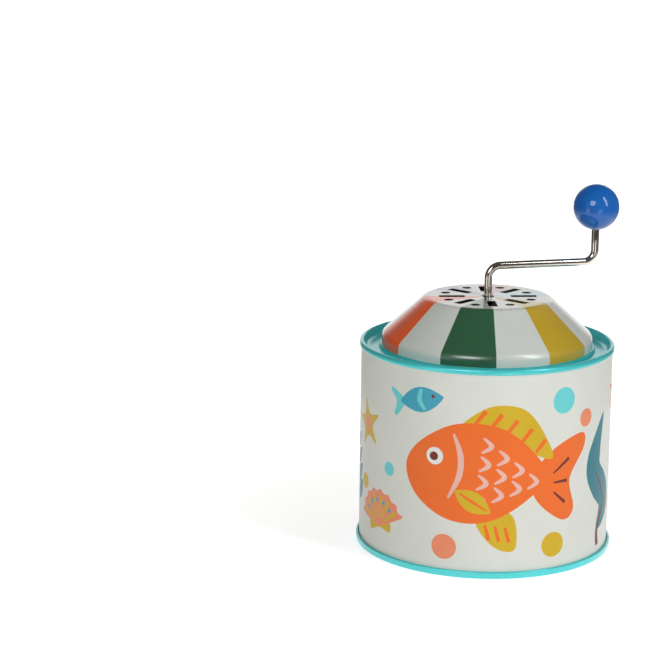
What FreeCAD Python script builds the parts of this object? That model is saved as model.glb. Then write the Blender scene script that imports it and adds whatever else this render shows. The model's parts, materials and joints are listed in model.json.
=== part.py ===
import FreeCAD, Part
import math
import os

from FreeCAD import Vector

# Hand-cranked music box: a round tinplate drum with a domed sound cap, and a
# pinned-barrel movement hanging inside, driven by a wire crank with a ball.
# Millimetres. +Z is up and -Y is the front. The origin is on the tin's axis,
# at the height of the bottom rim, and the crank wire runs up that axis.
# Azimuths are in degrees from the front, positive towards +X.

# Bends are drawn with short chords of about this turn, which keeps meshes light
bend_step = 45.0
parallel_sine = 0.01        # edges that meet under this are taken as parallel

# Fits
sheet_gap = 0.02            # between sheets that are clamped or curled together
press_gap = 0.02            # radial, between pieces pressed or screwed together
running_gap = 0.04          # radial, between a turning shaft and its bearing
end_play = 0.06             # axial, between turning pieces and their stops

# Drum wall and bottom
tinplate = 0.3              # sheet thickness of wall, ring, cap and bottom
wall_radius = 32.0          # outside of the drum wall
rim_height = 52.8           # crest of the top ring's bead
side_seam_width = 4.6       # the wall's folded seam, at the back
side_seam_step = 0.25       # how far the seam stands out of the wall
side_seam_end_gap = 0.2     # to the top ring's curl
seam_radius = 32.8          # outside of the bottom seam
seam_height = 1.8
seam_bend = 0.4             # rounding of the seam's outer edges
bottom_recess = 2.4         # height of the bottom panel above the rim
panel_radius = 25.0         # raised middle of the bottom panel
panel_step = 0.7

# Top ring
bead_radius = 0.73          # outer side of the bead
bead_inner_bend = 0.35
bead_inner_gap = 0.1        # the ring's sheet inside the bead to the wall
bead_overhang = 0.43        # how far the bead stands out of the wall
wall_reach = 0.25           # wall's top edge above the bead's centre, in bead radii
curl_side_drop = 0.64       # where the curl leaves the bead's side, in bead radii
curl_edge_drop = 0.99       # the curl's free edge, in bead radii
slope_angle = 72.0          # from the bead down to the valley
valley_bend = 2.6           # where that slope runs into the valley
valley_depth = 2.2          # from the bead's crest down to the valley
collar_height = 1.3         # collar round the cap's skirt, above the valley
collar_gap = 0.05

# Sound cap
cap_radius = 26.8           # outside of the skirt
cap_height = 13.5           # flat top above the valley
cap_skirt_height = 3.8      # where skirt and cone would meet, above the valley
cap_top_radius = 16.0       # where cone and flat top would meet
cap_shoulder_bend = 2.4
cap_top_bend = 2.4
cap_flange = 3.3            # flange under the ring, outwards from the skirt
shaft_hole_gap = 0.5        # round the wire
sound_hole_count = 8
sound_hole_turn = 6.8       # azimuth of the first slot
slot_inner_radius = 5.9
slot_outer_radius = 12.4
slot_width = 2.2
round_hole_radius = 1.15
round_hole_distance = 11.25

# Carrier bridge under the cap
carrier_thickness = 0.8
carrier_bend = 1.0
carrier_shaft_gap = 1.6     # round the wire
carrier_width = 30.0        # across the strap, which runs from front to back
carrier_window_radius = 4.0
carrier_window_distance = 9.5

# Crank
wire_radius = 1.0
crank_length = 28.5         # shaft axis to knob axis
crank_azimuth = 109.0
arm_rise = 7.8              # arm's centre line above the cap's flat top
knob_rise = 14.1            # ball's centre above the arm's centre line
wire_bend = 3.0             # centre-line radius of both bends
knob_radius = 5.9
knob_bore_depth = 7.0
knob_bands = 10             # the ball is turned in this many flat bands
wire_tail = 1.4             # wire below the retaining clip
clip_thickness = 0.6
clip_width = 1.3            # outwards from the wire
clip_grip = 0.2             # how much its opening is narrower than the groove
groove_depth = 0.25

# Worm and wheel
module = 0.7
wheel_teeth = 20
worm_pitch_radius = 2.5
pressure_angle = 20.0
tooth_backlash = 0.18
root_factor = 1.25          # depth below the pitch line, in modules
worm_thread_turns = 2.5
worm_sections = 16          # sections per turn of the thread
worm_hub_wall = 0.8
thread_root_overlap = 0.2   # thread's foot inside the worm's root
wheel_width = 3.2
wheel_hub_wall = 2.6

# Bed casting
bed_thickness = 2.2
bed_turning_gap = 0.6       # wheel tips or pins to the bed's face
bed_corner = 2.0
bed_left_margin = 0.6       # bed beyond the bearing bracket
bed_right_margin = 0.8      # bed beyond the bearing post
bed_wall_gap = 1.0          # least gap between bed and drum wall
bed_floor_gap = 2.86        # bed above the bottom panel
bed_foot = 2.4              # bed below the comb
lug_thickness = 2.2
lug_turning_gap = 1.1       # wheel tips or pins to the lugs
lug_boss_wall = 1.2
lug_left = -4.0
lug_right = 1.6
post_thickness = 2.0
post_wall = 1.8
post_foot = 4.2             # half height of post and bracket at the bed
bed_hang_gap = 1.4          # top of the bed below the carrier bridge

# Bushes and washers
bush_wall = 1.0             # from the wire to the outside of the bush
bush_flange_width = 0.8
bush_flange = 0.4
washer_width = 1.2
washer_thickness = 0.3

# Pinned barrel
barrel_radius = 6.5
barrel_wall = 0.6
pin_reach = 0.5             # pins above the barrel's surface
pin_radius = 0.26
pin_sides = 4
tune_steps = 32
melody_stride = 5           # tracks from one melody note to the next
bass_tracks = 5
bass_stride = 3
bass_every = 4              # steps
chord_every = 8
arbor_radius = 0.8
arbor_tail = 0.8            # arbor beyond its bearings
barrel_wheel_gap = 0.4      # barrel's edge to the wheel's face
barrel_worm_gap = 0.4       # barrel or its spigot to the worm's thread
barrel_end_gap = 0.4        # turning ends to the bearings
cap_disc_thickness = 1.5

# Comb
comb_teeth = 18
tooth_pitch = 0.9
tooth_slot = 0.25
tooth_thickness = 0.5
heel_thickness = 1.2
heel_depth = 6.0            # heel behind the longest slot
heel_margin = 1.3           # thick heel starts this far below the slots
treble_slot_share = 0.567   # of the bass slots, which reach down as far as the tin allows
pin_tooth_gap = 0.1         # tooth tips stand just clear of the pins
first_track_inset = 1.1     # barrel's left edge to the first track
weight_count = 7
weight_length = 4.0
weight_setback = 0.8        # from the tooth tips
weight_deepest = 2.6
weight_shallowest = 0.9
damper_thickness = 0.15
damper_length = 2.2

# Bearing bracket, hanger and fasteners
bracket_thickness = 1.2
bracket_bend = 1.5
bracket_foot_length = 6.2
hanger_thickness = 1.0
hanger_bend = 1.0
hanger_width = 14.0
hanger_centre = 8.0
hanger_leg = 14.0
hanger_screw_drop = 9.1     # screws below the carrier bridge
hanger_flange = 11.0
screw_radius = 1.25
screw_length = 3.2
screw_head_width = 0.85     # outwards from the shank
screw_head_height = 1.3
comb_screw_inset = 3.2
hanger_screw_spacing = 8.0
rivet_radius = 1.1
rivet_head_width = 0.7
rivet_head_height = 0.7
rivet_inset = 3.5           # from the flange's free edge

# Heights and places that follow from the sizes above
bead_height = rim_height - bead_radius
curl_edge_height = bead_height - curl_edge_drop * bead_radius
valley_height = rim_height - valley_depth
cap_flange_top = valley_height - tinplate - sheet_gap
carrier_top = cap_flange_top - tinplate - sheet_gap
carrier_bottom = carrier_top - carrier_thickness
cap_top = valley_height + cap_height
arm_height = cap_top + arm_rise
knob_height = arm_height + knob_rise

shaft_hole_radius = wire_radius + shaft_hole_gap
carrier_shaft_radius = wire_radius + carrier_shaft_gap
bush_radius = wire_radius + bush_wall
bush_flange_radius = bush_radius + bush_flange_width
lug_boss_radius = bush_radius + lug_boss_wall
washer_radius = wire_radius + washer_width
clip_radius = wire_radius + clip_width
groove_radius = wire_radius - groove_depth
clip_opening = 2 * groove_radius - clip_grip
worm_hub_radius = wire_radius + worm_hub_wall
wheel_hub_radius = arbor_radius + wheel_hub_wall
post_radius = arbor_radius + post_wall
screw_head_radius = screw_radius + screw_head_width
rivet_head_radius = rivet_radius + rivet_head_width

wheel_pitch_radius = module * wheel_teeth / 2
wheel_tip_radius = wheel_pitch_radius + module
worm_tip_radius = worm_pitch_radius + module
worm_root_radius = worm_pitch_radius - root_factor * module
axial_pitch = math.pi * module
barrel_y = worm_pitch_radius + wheel_pitch_radius
pin_tip_radius = barrel_radius + pin_reach
spigot_radius = barrel_radius - barrel_wall - press_gap
turning_radius = max(wheel_tip_radius, pin_tip_radius)

lug_offset = turning_radius + lug_turning_gap
bed_top = carrier_bottom - bed_hang_gap
barrel_z = bed_top - lug_thickness - lug_offset
hub_half_length = lug_offset - bush_flange - washer_thickness - 2 * end_play
clip_top = barrel_z - lug_offset - lug_thickness - end_play
wire_bottom = clip_top - clip_thickness - wire_tail


def clear_of_worm(radius):
    """Least x at which a disc of this radius on the barrel's axis clears the worm."""
    beside = max(barrel_y - radius, 0)
    reach = worm_tip_radius + barrel_worm_gap
    return math.sqrt(max(reach ** 2 - beside ** 2, 0))


barrel_left = max(wheel_width / 2 + barrel_wheel_gap, clear_of_worm(barrel_radius))
spigot_left = max(wheel_width / 2, clear_of_worm(spigot_radius))
first_track = barrel_left + first_track_inset
last_track = first_track + (comb_teeth - 1) * tooth_pitch
barrel_right = last_track + first_track_inset
post_left = barrel_right + barrel_end_gap
post_right = post_left + post_thickness
bracket_right = -wheel_width / 2 - barrel_end_gap
bracket_left = bracket_right - bracket_thickness

bed_face = barrel_y + turning_radius + bed_turning_gap
bed_back = bed_face + bed_thickness
bed_left = bracket_left - bracket_foot_length - bed_left_margin
bed_right = post_right + bed_right_margin
bed_bottom = bottom_recess + tinplate + panel_step + bed_floor_gap
comb_bottom = bed_bottom + bed_foot
tooth_tip = barrel_z - pin_tip_radius - pin_tooth_gap
bass_slot_length = tooth_tip - comb_bottom - heel_depth
treble_slot_length = treble_slot_share * bass_slot_length
comb_face = barrel_y - tooth_thickness / 2
comb_left = first_track - tooth_pitch / 2
comb_right = last_track + tooth_pitch / 2
platform_face = comb_face + heel_thickness + sheet_gap
comb_screw_z = comb_bottom + heel_depth / 2
hanger_back = bed_back + sheet_gap + hanger_thickness
rivet_y = hanger_back - hanger_flange + rivet_inset
hanger_screw_z = carrier_bottom - hanger_screw_drop


def at_azimuth(radius, azimuth, z):
    turn = math.radians(azimuth)
    return Vector(radius * math.sin(turn), -radius * math.cos(turn), z)


def box(x_span, y_span, z_span):
    low = Vector(x_span[0], y_span[0], z_span[0])
    return Part.makeBox(
        x_span[1] - x_span[0], y_span[1] - y_span[0], z_span[1] - z_span[0], low
    )


def rod(radius, start, end):
    along = end - start
    return Part.makeCylinder(radius, along.Length, start, along)


def tube(outer_radius, inner_radius, start, end):
    return rod(outer_radius, start, end).cut(rod(inner_radius, start, end))


def on_axis(z):
    return Vector(0, 0, z)


def fuse_all(shapes):
    return shapes[0].multiFuse(shapes[1:]).removeSplitter()


# Bent sheet: an outline in the XZ plane is a list of (x, z, bend radius)


def unit(start, end):
    length = math.hypot(end[0] - start[0], end[1] - start[1])
    return (end[0] - start[0]) / length, (end[1] - start[1]) / length


def directions(outline, i):
    """Travel into and out of one corner. At an end both are the same."""
    last = len(outline) - 1
    into = unit(outline[max(i - 1, 0)], outline[max(i, 1)])
    out = unit(outline[min(i, last - 1)], outline[min(i + 1, last)])
    return into, out


def turn_angle(into, out):
    cross = into[0] * out[1] - into[1] * out[0]
    return math.atan2(cross, into[0] * out[0] + into[1] * out[1])


def parallel_outline(outline, distance):
    """The same bends, moved by the distance to the left of the direction of travel."""
    result = []
    for i, (x, z, bend) in enumerate(outline):
        into, out = directions(outline, i)
        turn = turn_angle(into, out)
        share = 1 + into[0] * out[0] + into[1] * out[1]
        shift_x = -(into[1] + out[1]) / share
        shift_z = (into[0] + out[0]) / share
        inner_bend = max(bend - distance * math.copysign(1, turn), 0) if bend else 0
        result.append((x + distance * shift_x, z + distance * shift_z, inner_bend))
    return result


def bend_points(corner, into, out, radius, chords):
    """Points along the arc that is tangent to both sides of a corner."""
    turn = turn_angle(into, out)
    reach = radius * math.tan(abs(turn) / 2)
    side = math.copysign(radius, turn)
    start = (corner[0] - into[0] * reach, corner[1] - into[1] * reach)
    centre = (start[0] - into[1] * side, start[1] + into[0] * side)
    points = []
    for step in range(chords + 1):
        angle = turn * step / chords
        arm = (start[0] - centre[0], start[1] - centre[1])
        points.append(Vector(
            centre[0] + arm[0] * math.cos(angle) - arm[1] * math.sin(angle),
            0,
            centre[1] + arm[0] * math.sin(angle) + arm[1] * math.cos(angle),
        ))
    return points


def outline_points(outline):
    points = []
    for i, (x, z, bend) in enumerate(outline):
        into, out = directions(outline, i)
        if bend > 0:
            turn = math.degrees(abs(turn_angle(into, out)))
            chords = max(round(turn / bend_step), 1)
            points += bend_points((x, z), into, out, bend, chords)
        else:
            points.append(Vector(x, 0, z))
    return points


def sheet_face(outline, thickness):
    """Section of a bent sheet whose one face follows the outline."""
    outer = outline_points(outline)
    inner = outline_points(parallel_outline(outline, thickness))
    return Part.Face(Part.makePolygon(outer + inner[::-1] + outer[:1]))


def spun(points):
    face = Part.Face(Part.makePolygon(points + points[:1]))
    return face.revolve(Vector(), Vector(0, 0, 1), 360)


def spun_sheet(outline, thickness):
    return sheet_face(outline, thickness).revolve(Vector(), Vector(0, 0, 1), 360)


# Tin


def bottom_plate():
    """Recessed panel with a pressed seam round it. The wall stands in the seam's groove."""
    groove_inner = wall_radius - tinplate - sheet_gap
    groove_outer = wall_radius + sheet_gap
    chuck_radius = groove_inner - tinplate
    panel_top = bottom_recess + tinplate
    underside = [
        (0, bottom_recess + panel_step, 0),
        (panel_radius, bottom_recess + panel_step, 0),
        (panel_radius + panel_step, bottom_recess, 0),
        (chuck_radius, bottom_recess, 0),
        (chuck_radius, 0, 0),
        (seam_radius, 0, seam_bend),
        (seam_radius, seam_height, seam_bend),
        (groove_outer, seam_height, 0),
    ]
    inside = [
        (groove_outer, tinplate, 0),
        (groove_inner, tinplate, 0),
        (groove_inner, panel_top, 0),
        (panel_radius + panel_step, panel_top, 0),
        (panel_radius, panel_top + panel_step, 0),
        (0, panel_top + panel_step, 0),
    ]
    return spun(outline_points(underside) + [Vector(x, 0, z) for x, z, bend in inside])


def drum_wall():
    """Rolled sheet. Its folded side seam stands out a little on both faces."""
    wall = tube(
        wall_radius,
        wall_radius - tinplate,
        on_axis(tinplate + sheet_gap),
        on_axis(bead_height + wall_reach * bead_radius),
    )
    outer_fold = tube(
        wall_radius + side_seam_step,
        wall_radius - tinplate,
        on_axis(seam_height + sheet_gap),
        on_axis(curl_edge_height - side_seam_end_gap),
    )
    inner_fold = tube(
        wall_radius,
        wall_radius - tinplate - side_seam_step,
        on_axis(bottom_recess + tinplate + sheet_gap),
        on_axis(carrier_bottom - sheet_gap),
    )
    half_width = side_seam_width / 2
    back = box((-half_width, half_width), (0, 2 * wall_radius), (0, rim_height))
    return fuse_all([wall, outer_fold.common(back), inner_fold.common(back)])


def top_ring():
    """Stamped ring: curled over the wall's edge, down inside it, up round the cap's skirt."""
    outer = wall_radius + bead_overhang
    collar_radius = cap_radius + collar_gap + tinplate
    slope = math.radians(slope_angle)
    crest_underside = wall_radius - tinplate - bead_inner_gap
    crest_edge = crest_underside - tinplate * math.tan(slope / 2)
    valley_edge = crest_edge - valley_depth / math.tan(slope)
    outline = [
        (wall_radius + tinplate - sheet_gap, curl_edge_height, 0),
        (outer, bead_height - curl_side_drop * bead_radius, 0),
        (outer, rim_height, bead_radius),
        (crest_edge, rim_height, bead_inner_bend),
        (valley_edge, valley_height, valley_bend),
        (collar_radius, valley_height, 0),
        (collar_radius, valley_height + collar_height, 0),
    ]
    return spun_sheet(outline, tinplate)


def sound_cap():
    outline = [
        (cap_radius + cap_flange, cap_flange_top, 0),
        (cap_radius, cap_flange_top, 0),
        (cap_radius, valley_height + cap_skirt_height, cap_shoulder_bend),
        (cap_top_radius, cap_top, cap_top_bend),
        (shaft_hole_radius, cap_top, 0),
    ]
    cap = spun_sheet(outline, tinplate)
    holes = []
    step = 360 / sound_hole_count
    for i in range(sound_hole_count):
        slot = box(
            (slot_inner_radius, slot_outer_radius),
            (-slot_width / 2, slot_width / 2),
            (cap_top - 2 * tinplate, cap_top + tinplate),
        )
        azimuth = sound_hole_turn + i * step
        slot.rotate(Vector(), Vector(0, 0, 1), azimuth - 90)
        foot = at_azimuth(round_hole_distance, azimuth + step / 2, cap_top - 2 * tinplate)
        holes.append(slot)
        holes.append(rod(round_hole_radius, foot, foot + on_axis(3 * tinplate)))
    return cap.cut(Part.makeCompound(holes))


def carrier_bridge():
    """Steel strap across the tin, its ends turned up along the wall. The cap sits on it."""
    rim_radius = wall_radius - tinplate - sheet_gap
    outline = [
        (carrier_shaft_radius, carrier_bottom, 0),
        (rim_radius, carrier_bottom, carrier_bend),
        (rim_radius, cap_flange_top, 0),
    ]
    dish = spun_sheet(outline, carrier_thickness)
    half_width = carrier_width / 2
    strap = box(
        (-half_width, half_width), (-wall_radius, wall_radius), (carrier_bottom, rim_height)
    )
    holes = [window(side) for side in (-1, 1)]
    for foot in rivet_places(carrier_bottom):
        holes.append(
            rod(rivet_radius + press_gap, foot, foot + on_axis(carrier_thickness))
        )
    return dish.common(strap).cut(Part.makeCompound(holes))


def window(side):
    """Sound window in the bridge, in front of the shaft hole or beside it."""
    foot = Vector(side * carrier_window_distance, -carrier_window_distance, carrier_bottom)
    return rod(carrier_window_radius, foot, foot + on_axis(carrier_thickness))


# Hanger between the carrier bridge and the bed


def beside_hanger_centre(spacing, y, z):
    return [Vector(hanger_centre + side * spacing / 2, y, z) for side in (-1, 1)]


def rivet_places(z):
    return beside_hanger_centre(hanger_screw_spacing, rivet_y, z)


def hanger_screw_places(y):
    return beside_hanger_centre(hanger_screw_spacing, y, hanger_screw_z)


def hanger_bracket():
    """Angle over the bed's top edge: its flange is riveted up, its leg is screwed to the bed."""
    top = carrier_bottom - sheet_gap
    outline = [
        (hanger_back - hanger_flange, top, 0),
        (hanger_back, top, hanger_bend),
        (hanger_back, top - hanger_leg, 0),
    ]
    face = sheet_face(outline, -hanger_thickness)
    face.rotate(Vector(), Vector(0, 0, 1), 90)
    face.translate(Vector(hanger_centre - hanger_width / 2, 0, 0))
    bracket = face.extrude(Vector(hanger_width, 0, 0))
    holes = []
    for place in rivet_places(top):
        holes.append(
            rod(rivet_radius + press_gap, place, place - on_axis(hanger_thickness))
        )
    for place in hanger_screw_places(hanger_back):
        through = place - Vector(0, hanger_thickness, 0)
        holes.append(rod(screw_radius + press_gap, place, through))
    return bracket.cut(Part.makeCompound(holes))


def hanger_rivets():
    low = carrier_bottom - sheet_gap - hanger_thickness
    rivets = []
    for place in rivet_places(0):
        shank = rod(rivet_radius, place + on_axis(low), place + on_axis(carrier_top))
        lower_head = rod(
            rivet_head_radius,
            place + on_axis(low - rivet_head_height),
            place + on_axis(low),
        )
        upper_head = rod(
            rivet_head_radius,
            place + on_axis(carrier_top),
            place + on_axis(carrier_top + rivet_head_height),
        )
        rivets.append(fuse_all([shank, lower_head, upper_head]))
    return Part.makeCompound(rivets)


def cheese_head_screw(seat, direction):
    """A screw whose head sits on the seat, with its shank along the direction."""
    head_top = seat - direction * screw_head_height
    return fuse_all([
        rod(screw_head_radius, head_top, seat),
        rod(screw_radius, seat, seat + direction * screw_length),
    ])


def hanger_screws():
    seats = hanger_screw_places(hanger_back)
    return Part.makeCompound(
        [cheese_head_screw(seat, Vector(0, -1, 0)) for seat in seats]
    )


# Bed casting with its shaft lugs, bearing post and comb platform


def shaft_lug(low):
    """Arm from the bed to the crank shaft, with a round boss for the bush."""
    high = low + lug_thickness
    arm = box((lug_left, lug_right), (0, bed_face), (low, high))
    boss = rod(lug_boss_radius, on_axis(low), on_axis(high))
    return fuse_all([arm, boss])


def tapered_arm(x_span, tip_y, root_y):
    """Arm along Y with a round tip about the barrel's axis and a wider root."""
    tip = Vector(x_span[0], tip_y, barrel_z)
    round_tip = rod(post_radius, tip, tip + Vector(x_span[1] - x_span[0], 0, 0))
    corners = [
        Vector(x_span[0], tip_y, barrel_z - post_radius),
        Vector(x_span[0], tip_y, barrel_z + post_radius),
        Vector(x_span[0], root_y, barrel_z + post_foot),
        Vector(x_span[0], root_y, barrel_z - post_foot),
    ]
    side = Part.Face(Part.makePolygon(corners + corners[:1]))
    return fuse_all([round_tip, side.extrude(Vector(x_span[1] - x_span[0], 0, 0))])


def comb_platform():
    """Raised step under the comb's heel, slanted like the ends of the slots."""
    corners = [
        Vector(comb_left, platform_face, comb_bottom),
        Vector(comb_right, platform_face, comb_bottom),
        Vector(comb_right, platform_face, heel_line(comb_right)),
        Vector(comb_left, platform_face, heel_line(comb_left)),
    ]
    face = Part.Face(Part.makePolygon(corners + corners[:1]))
    return face.extrude(Vector(0, bed_face - platform_face, 0))


def bed_plate():
    plate = box((bed_left, bed_right), (bed_face, bed_back), (bed_bottom, bed_top))
    along_y = Vector(0, 1, 0)
    corner_edges = [
        edge for edge in plate.Edges
        if edge.tangentAt(edge.FirstParameter).cross(along_y).Length < parallel_sine
    ]
    plate = plate.makeFillet(bed_corner, corner_edges)
    room = rod(
        wall_radius - tinplate - bed_wall_gap, on_axis(bed_bottom), on_axis(bed_top)
    )
    upper_low = barrel_z + lug_offset
    lower_low = barrel_z - lug_offset - lug_thickness
    casting = fuse_all([
        plate.common(room),
        shaft_lug(upper_low),
        shaft_lug(lower_low),
        tapered_arm((post_left, post_right), barrel_y, bed_face),
        comb_platform(),
    ])
    holes = [
        rod(bush_radius + press_gap, on_axis(lower_low), on_axis(bed_top)),
        rod(
            arbor_radius + running_gap,
            Vector(post_left, barrel_y, barrel_z),
            Vector(post_right, barrel_y, barrel_z),
        ),
    ]
    for seat in comb_screw_places(platform_face):
        depth = screw_length - heel_thickness
        holes.append(rod(screw_radius + press_gap, seat, seat + Vector(0, depth, 0)))
    for seat in hanger_screw_places(bed_back):
        holes.append(
            rod(screw_radius + press_gap, seat, seat - Vector(0, bed_thickness, 0))
        )
    seat = bracket_screw_place(bed_face)
    holes.append(
        rod(screw_radius + press_gap, seat, seat + Vector(0, bed_thickness, 0))
    )
    return casting.cut(Part.makeCompound(holes))


# Left bearing of the barrel


def bracket_screw_place(y):
    return Vector(bracket_left - bracket_foot_length / 2, y, barrel_z)


def bearing_bracket():
    foot_y = bed_face - sheet_gap
    outline = [
        (bracket_left - bracket_foot_length, foot_y, 0),
        (bracket_right, foot_y, bracket_bend),
        (bracket_right, barrel_y - post_radius, 0),
    ]
    face = sheet_face(outline, -bracket_thickness)
    face.rotate(Vector(), Vector(1, 0, 0), -90)
    face.translate(Vector(0, 0, barrel_z - post_foot))
    bracket = face.extrude(Vector(0, 0, 2 * post_foot))
    leg_root = foot_y - bracket_bend
    wanted = fuse_all([
        tapered_arm((bracket_left, bracket_right), barrel_y, leg_root),
        box(
            (bracket_left - bracket_foot_length, bracket_right),
            (leg_root, foot_y),
            (barrel_z - post_foot, barrel_z + post_foot),
        ),
    ])
    bore = rod(
        arbor_radius + running_gap,
        Vector(bracket_left, barrel_y, barrel_z),
        Vector(bracket_right, barrel_y, barrel_z),
    )
    seat = bracket_screw_place(foot_y)
    screw_hole = rod(
        screw_radius + press_gap, seat - Vector(0, bracket_thickness, 0), seat
    )
    return bracket.common(wanted).cut(Part.makeCompound([bore, screw_hole]))


def bearing_screw():
    seat = bracket_screw_place(bed_face - sheet_gap - bracket_thickness)
    return cheese_head_screw(seat, Vector(0, 1, 0))


# Bushes, washers and clip on the crank shaft


def shaft_bush(lug_low, flange_above):
    """Flanged bush in a lug, with its flange on the side that faces the worm."""
    lug_high = lug_low + lug_thickness
    flange_low = lug_high if flange_above else lug_low - bush_flange
    bush = fuse_all([
        rod(bush_radius, on_axis(lug_low), on_axis(lug_high)),
        rod(bush_flange_radius, on_axis(flange_low), on_axis(flange_low + bush_flange)),
    ])
    bore = rod(
        wire_radius + running_gap,
        on_axis(lug_low - bush_flange),
        on_axis(lug_high + bush_flange),
    )
    return bush.cut(bore)


def thrust_washers():
    washers = []
    for side in (-1, 1):
        inner = barrel_z + side * (hub_half_length + end_play)
        outer = inner + side * washer_thickness
        washers.append(
            tube(washer_radius, wire_radius + press_gap, on_axis(inner), on_axis(outer))
        )
    return Part.makeCompound(washers)


def retaining_clip():
    clip = tube(
        clip_radius,
        groove_radius + press_gap,
        on_axis(clip_top - clip_thickness),
        on_axis(clip_top),
    )
    opening = box(
        (0, clip_radius),
        (-clip_opening / 2, clip_opening / 2),
        (clip_top - clip_thickness, clip_top),
    )
    return clip.cut(opening)


# Crank


def bend_in_wire(centre, start, axis):
    """Quarter turn of the wire about the axis through the centre, from the start point."""
    section = Part.Face(Part.Wire(Part.makeCircle(
        wire_radius, start, axis.cross(start - centre)
    )))
    return section.revolve(centre, axis, 90)


def crank_wire():
    outwards = at_azimuth(1, crank_azimuth, 0)
    up = Vector(0, 0, 1)
    axis = up.cross(outwards)
    low_corner = on_axis(arm_height)
    high_corner = low_corner + outwards * crank_length
    wire_top = high_corner + up * (knob_rise - knob_radius + knob_bore_depth)
    low_bend = low_corner - up * wire_bend
    arm_start = low_corner + outwards * wire_bend
    arm_end = high_corner - outwards * wire_bend
    high_bend = high_corner + up * wire_bend
    wire = fuse_all([
        rod(wire_radius, on_axis(wire_bottom), low_bend),
        bend_in_wire(low_bend + outwards * wire_bend, low_bend, axis),
        rod(wire_radius, arm_start, arm_end),
        bend_in_wire(arm_end + up * wire_bend, arm_end, axis * -1),
        rod(wire_radius, high_bend, wire_top),
    ])
    groove = tube(
        2 * wire_radius,
        groove_radius,
        on_axis(clip_top - clip_thickness - sheet_gap),
        on_axis(clip_top + sheet_gap),
    )
    return wire.cut(groove)


def crank_knob():
    """Ball pressed on the wire, with a blind bore from below."""
    bore_radius = wire_radius + press_gap
    mouth_angle = math.asin(bore_radius / knob_radius)
    points = []
    for i in range(knob_bands + 1):
        angle = mouth_angle + (math.pi - mouth_angle) * i / knob_bands
        points.append(
            Vector(knob_radius * math.sin(angle), 0, -knob_radius * math.cos(angle))
        )
    points[-1] = on_axis(knob_radius)
    bore_end = knob_bore_depth - knob_radius + press_gap
    points += [on_axis(bore_end), Vector(bore_radius, 0, bore_end)]
    ball = spun(points)
    ball.translate(at_azimuth(crank_length, crank_azimuth, knob_height))
    return ball


# Worm on the shaft and wheel on the barrel


def worm_thread():
    """Right-handed thread, lofted through its axial section. A gap faces the wheel's tooth."""
    half = axial_pitch / 4 - tooth_backlash / 4
    slope = math.tan(math.radians(pressure_angle))
    inner_radius = worm_root_radius - thread_root_overlap
    inner_half = half + slope * (worm_pitch_radius - inner_radius)
    tip_half = half - slope * module
    corners = [
        Vector(inner_radius, 0, -inner_half),
        Vector(worm_tip_radius, 0, -tip_half),
        Vector(worm_tip_radius, 0, tip_half),
        Vector(inner_radius, 0, inner_half),
    ]
    first_turn = 90 - 180 * (1 + worm_thread_turns)
    sections = []
    for i in range(round(worm_thread_turns * worm_sections) + 1):
        turns = i / worm_sections
        section = Part.makePolygon(corners + corners[:1])
        section.rotate(Vector(), Vector(0, 0, 1), first_turn + 360 * turns)
        rise = (turns - worm_thread_turns / 2) * axial_pitch
        section.translate(on_axis(barrel_z + rise))
        sections.append(section)
    return Part.makeLoft(sections, True, True)


def worm():
    core_half = (worm_thread_turns + 1) * axial_pitch / 2
    low = on_axis(barrel_z - hub_half_length)
    high = on_axis(barrel_z + hub_half_length)
    body = fuse_all([
        rod(worm_hub_radius, low, on_axis(barrel_z - core_half)),
        rod(worm_root_radius, on_axis(barrel_z - core_half), on_axis(barrel_z + core_half)),
        rod(worm_hub_radius, on_axis(barrel_z + core_half), high),
        worm_thread(),
    ])
    return body.cut(rod(wire_radius + press_gap, low, high))


def involute(radius, base_radius):
    pressure = math.acos(min(base_radius / radius, 1))
    return math.tan(pressure) - pressure


def wheel_outline(x, twist):
    """Closed outline of the toothed rim at one x, turned by the twist about the barrel's axis."""
    base_radius = wheel_pitch_radius * math.cos(math.radians(pressure_angle))
    root_radius = wheel_pitch_radius - root_factor * module
    thickness = axial_pitch / 2 - tooth_backlash / 2
    half_at_pitch = thickness / (2 * wheel_pitch_radius)

    def half_angle(radius):
        grown = involute(wheel_pitch_radius, base_radius)
        return half_at_pitch + grown - involute(max(radius, base_radius), base_radius)

    def point(radius, angle):
        turn = angle + twist
        return Vector(
            x,
            barrel_y - radius * math.cos(turn),
            barrel_z - radius * math.sin(turn),
        )

    radii = (root_radius, wheel_pitch_radius, wheel_tip_radius)
    points = []
    for i in range(wheel_teeth):
        middle = 2 * math.pi * i / wheel_teeth
        points += [point(r, middle - half_angle(r)) for r in radii]
        points += [point(r, middle + half_angle(r)) for r in reversed(radii)]
    return Part.makePolygon(points + points[:1])


def worm_wheel():
    lead = axial_pitch / (2 * math.pi * worm_pitch_radius)
    half_twist = lead * wheel_width / 2 / wheel_pitch_radius
    half_width = wheel_width / 2
    rim = Part.makeLoft(
        [wheel_outline(-half_width, -half_twist), wheel_outline(half_width, half_twist)],
        True,
        True,
    )
    hub_end = barrel_left + cap_disc_thickness
    spigot = rod(
        spigot_radius,
        Vector(spigot_left, barrel_y, barrel_z),
        Vector(hub_end, barrel_y, barrel_z),
    )
    boss = rod(
        wheel_hub_radius,
        Vector(-half_width - barrel_end_gap / 2, barrel_y, barrel_z),
        Vector(spigot_left, barrel_y, barrel_z),
    )
    bore = rod(
        arbor_radius + press_gap,
        Vector(-half_width - barrel_end_gap, barrel_y, barrel_z),
        Vector(hub_end, barrel_y, barrel_z),
    )
    return fuse_all([rim, spigot, boss]).cut(bore)


# Pinned barrel


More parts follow.
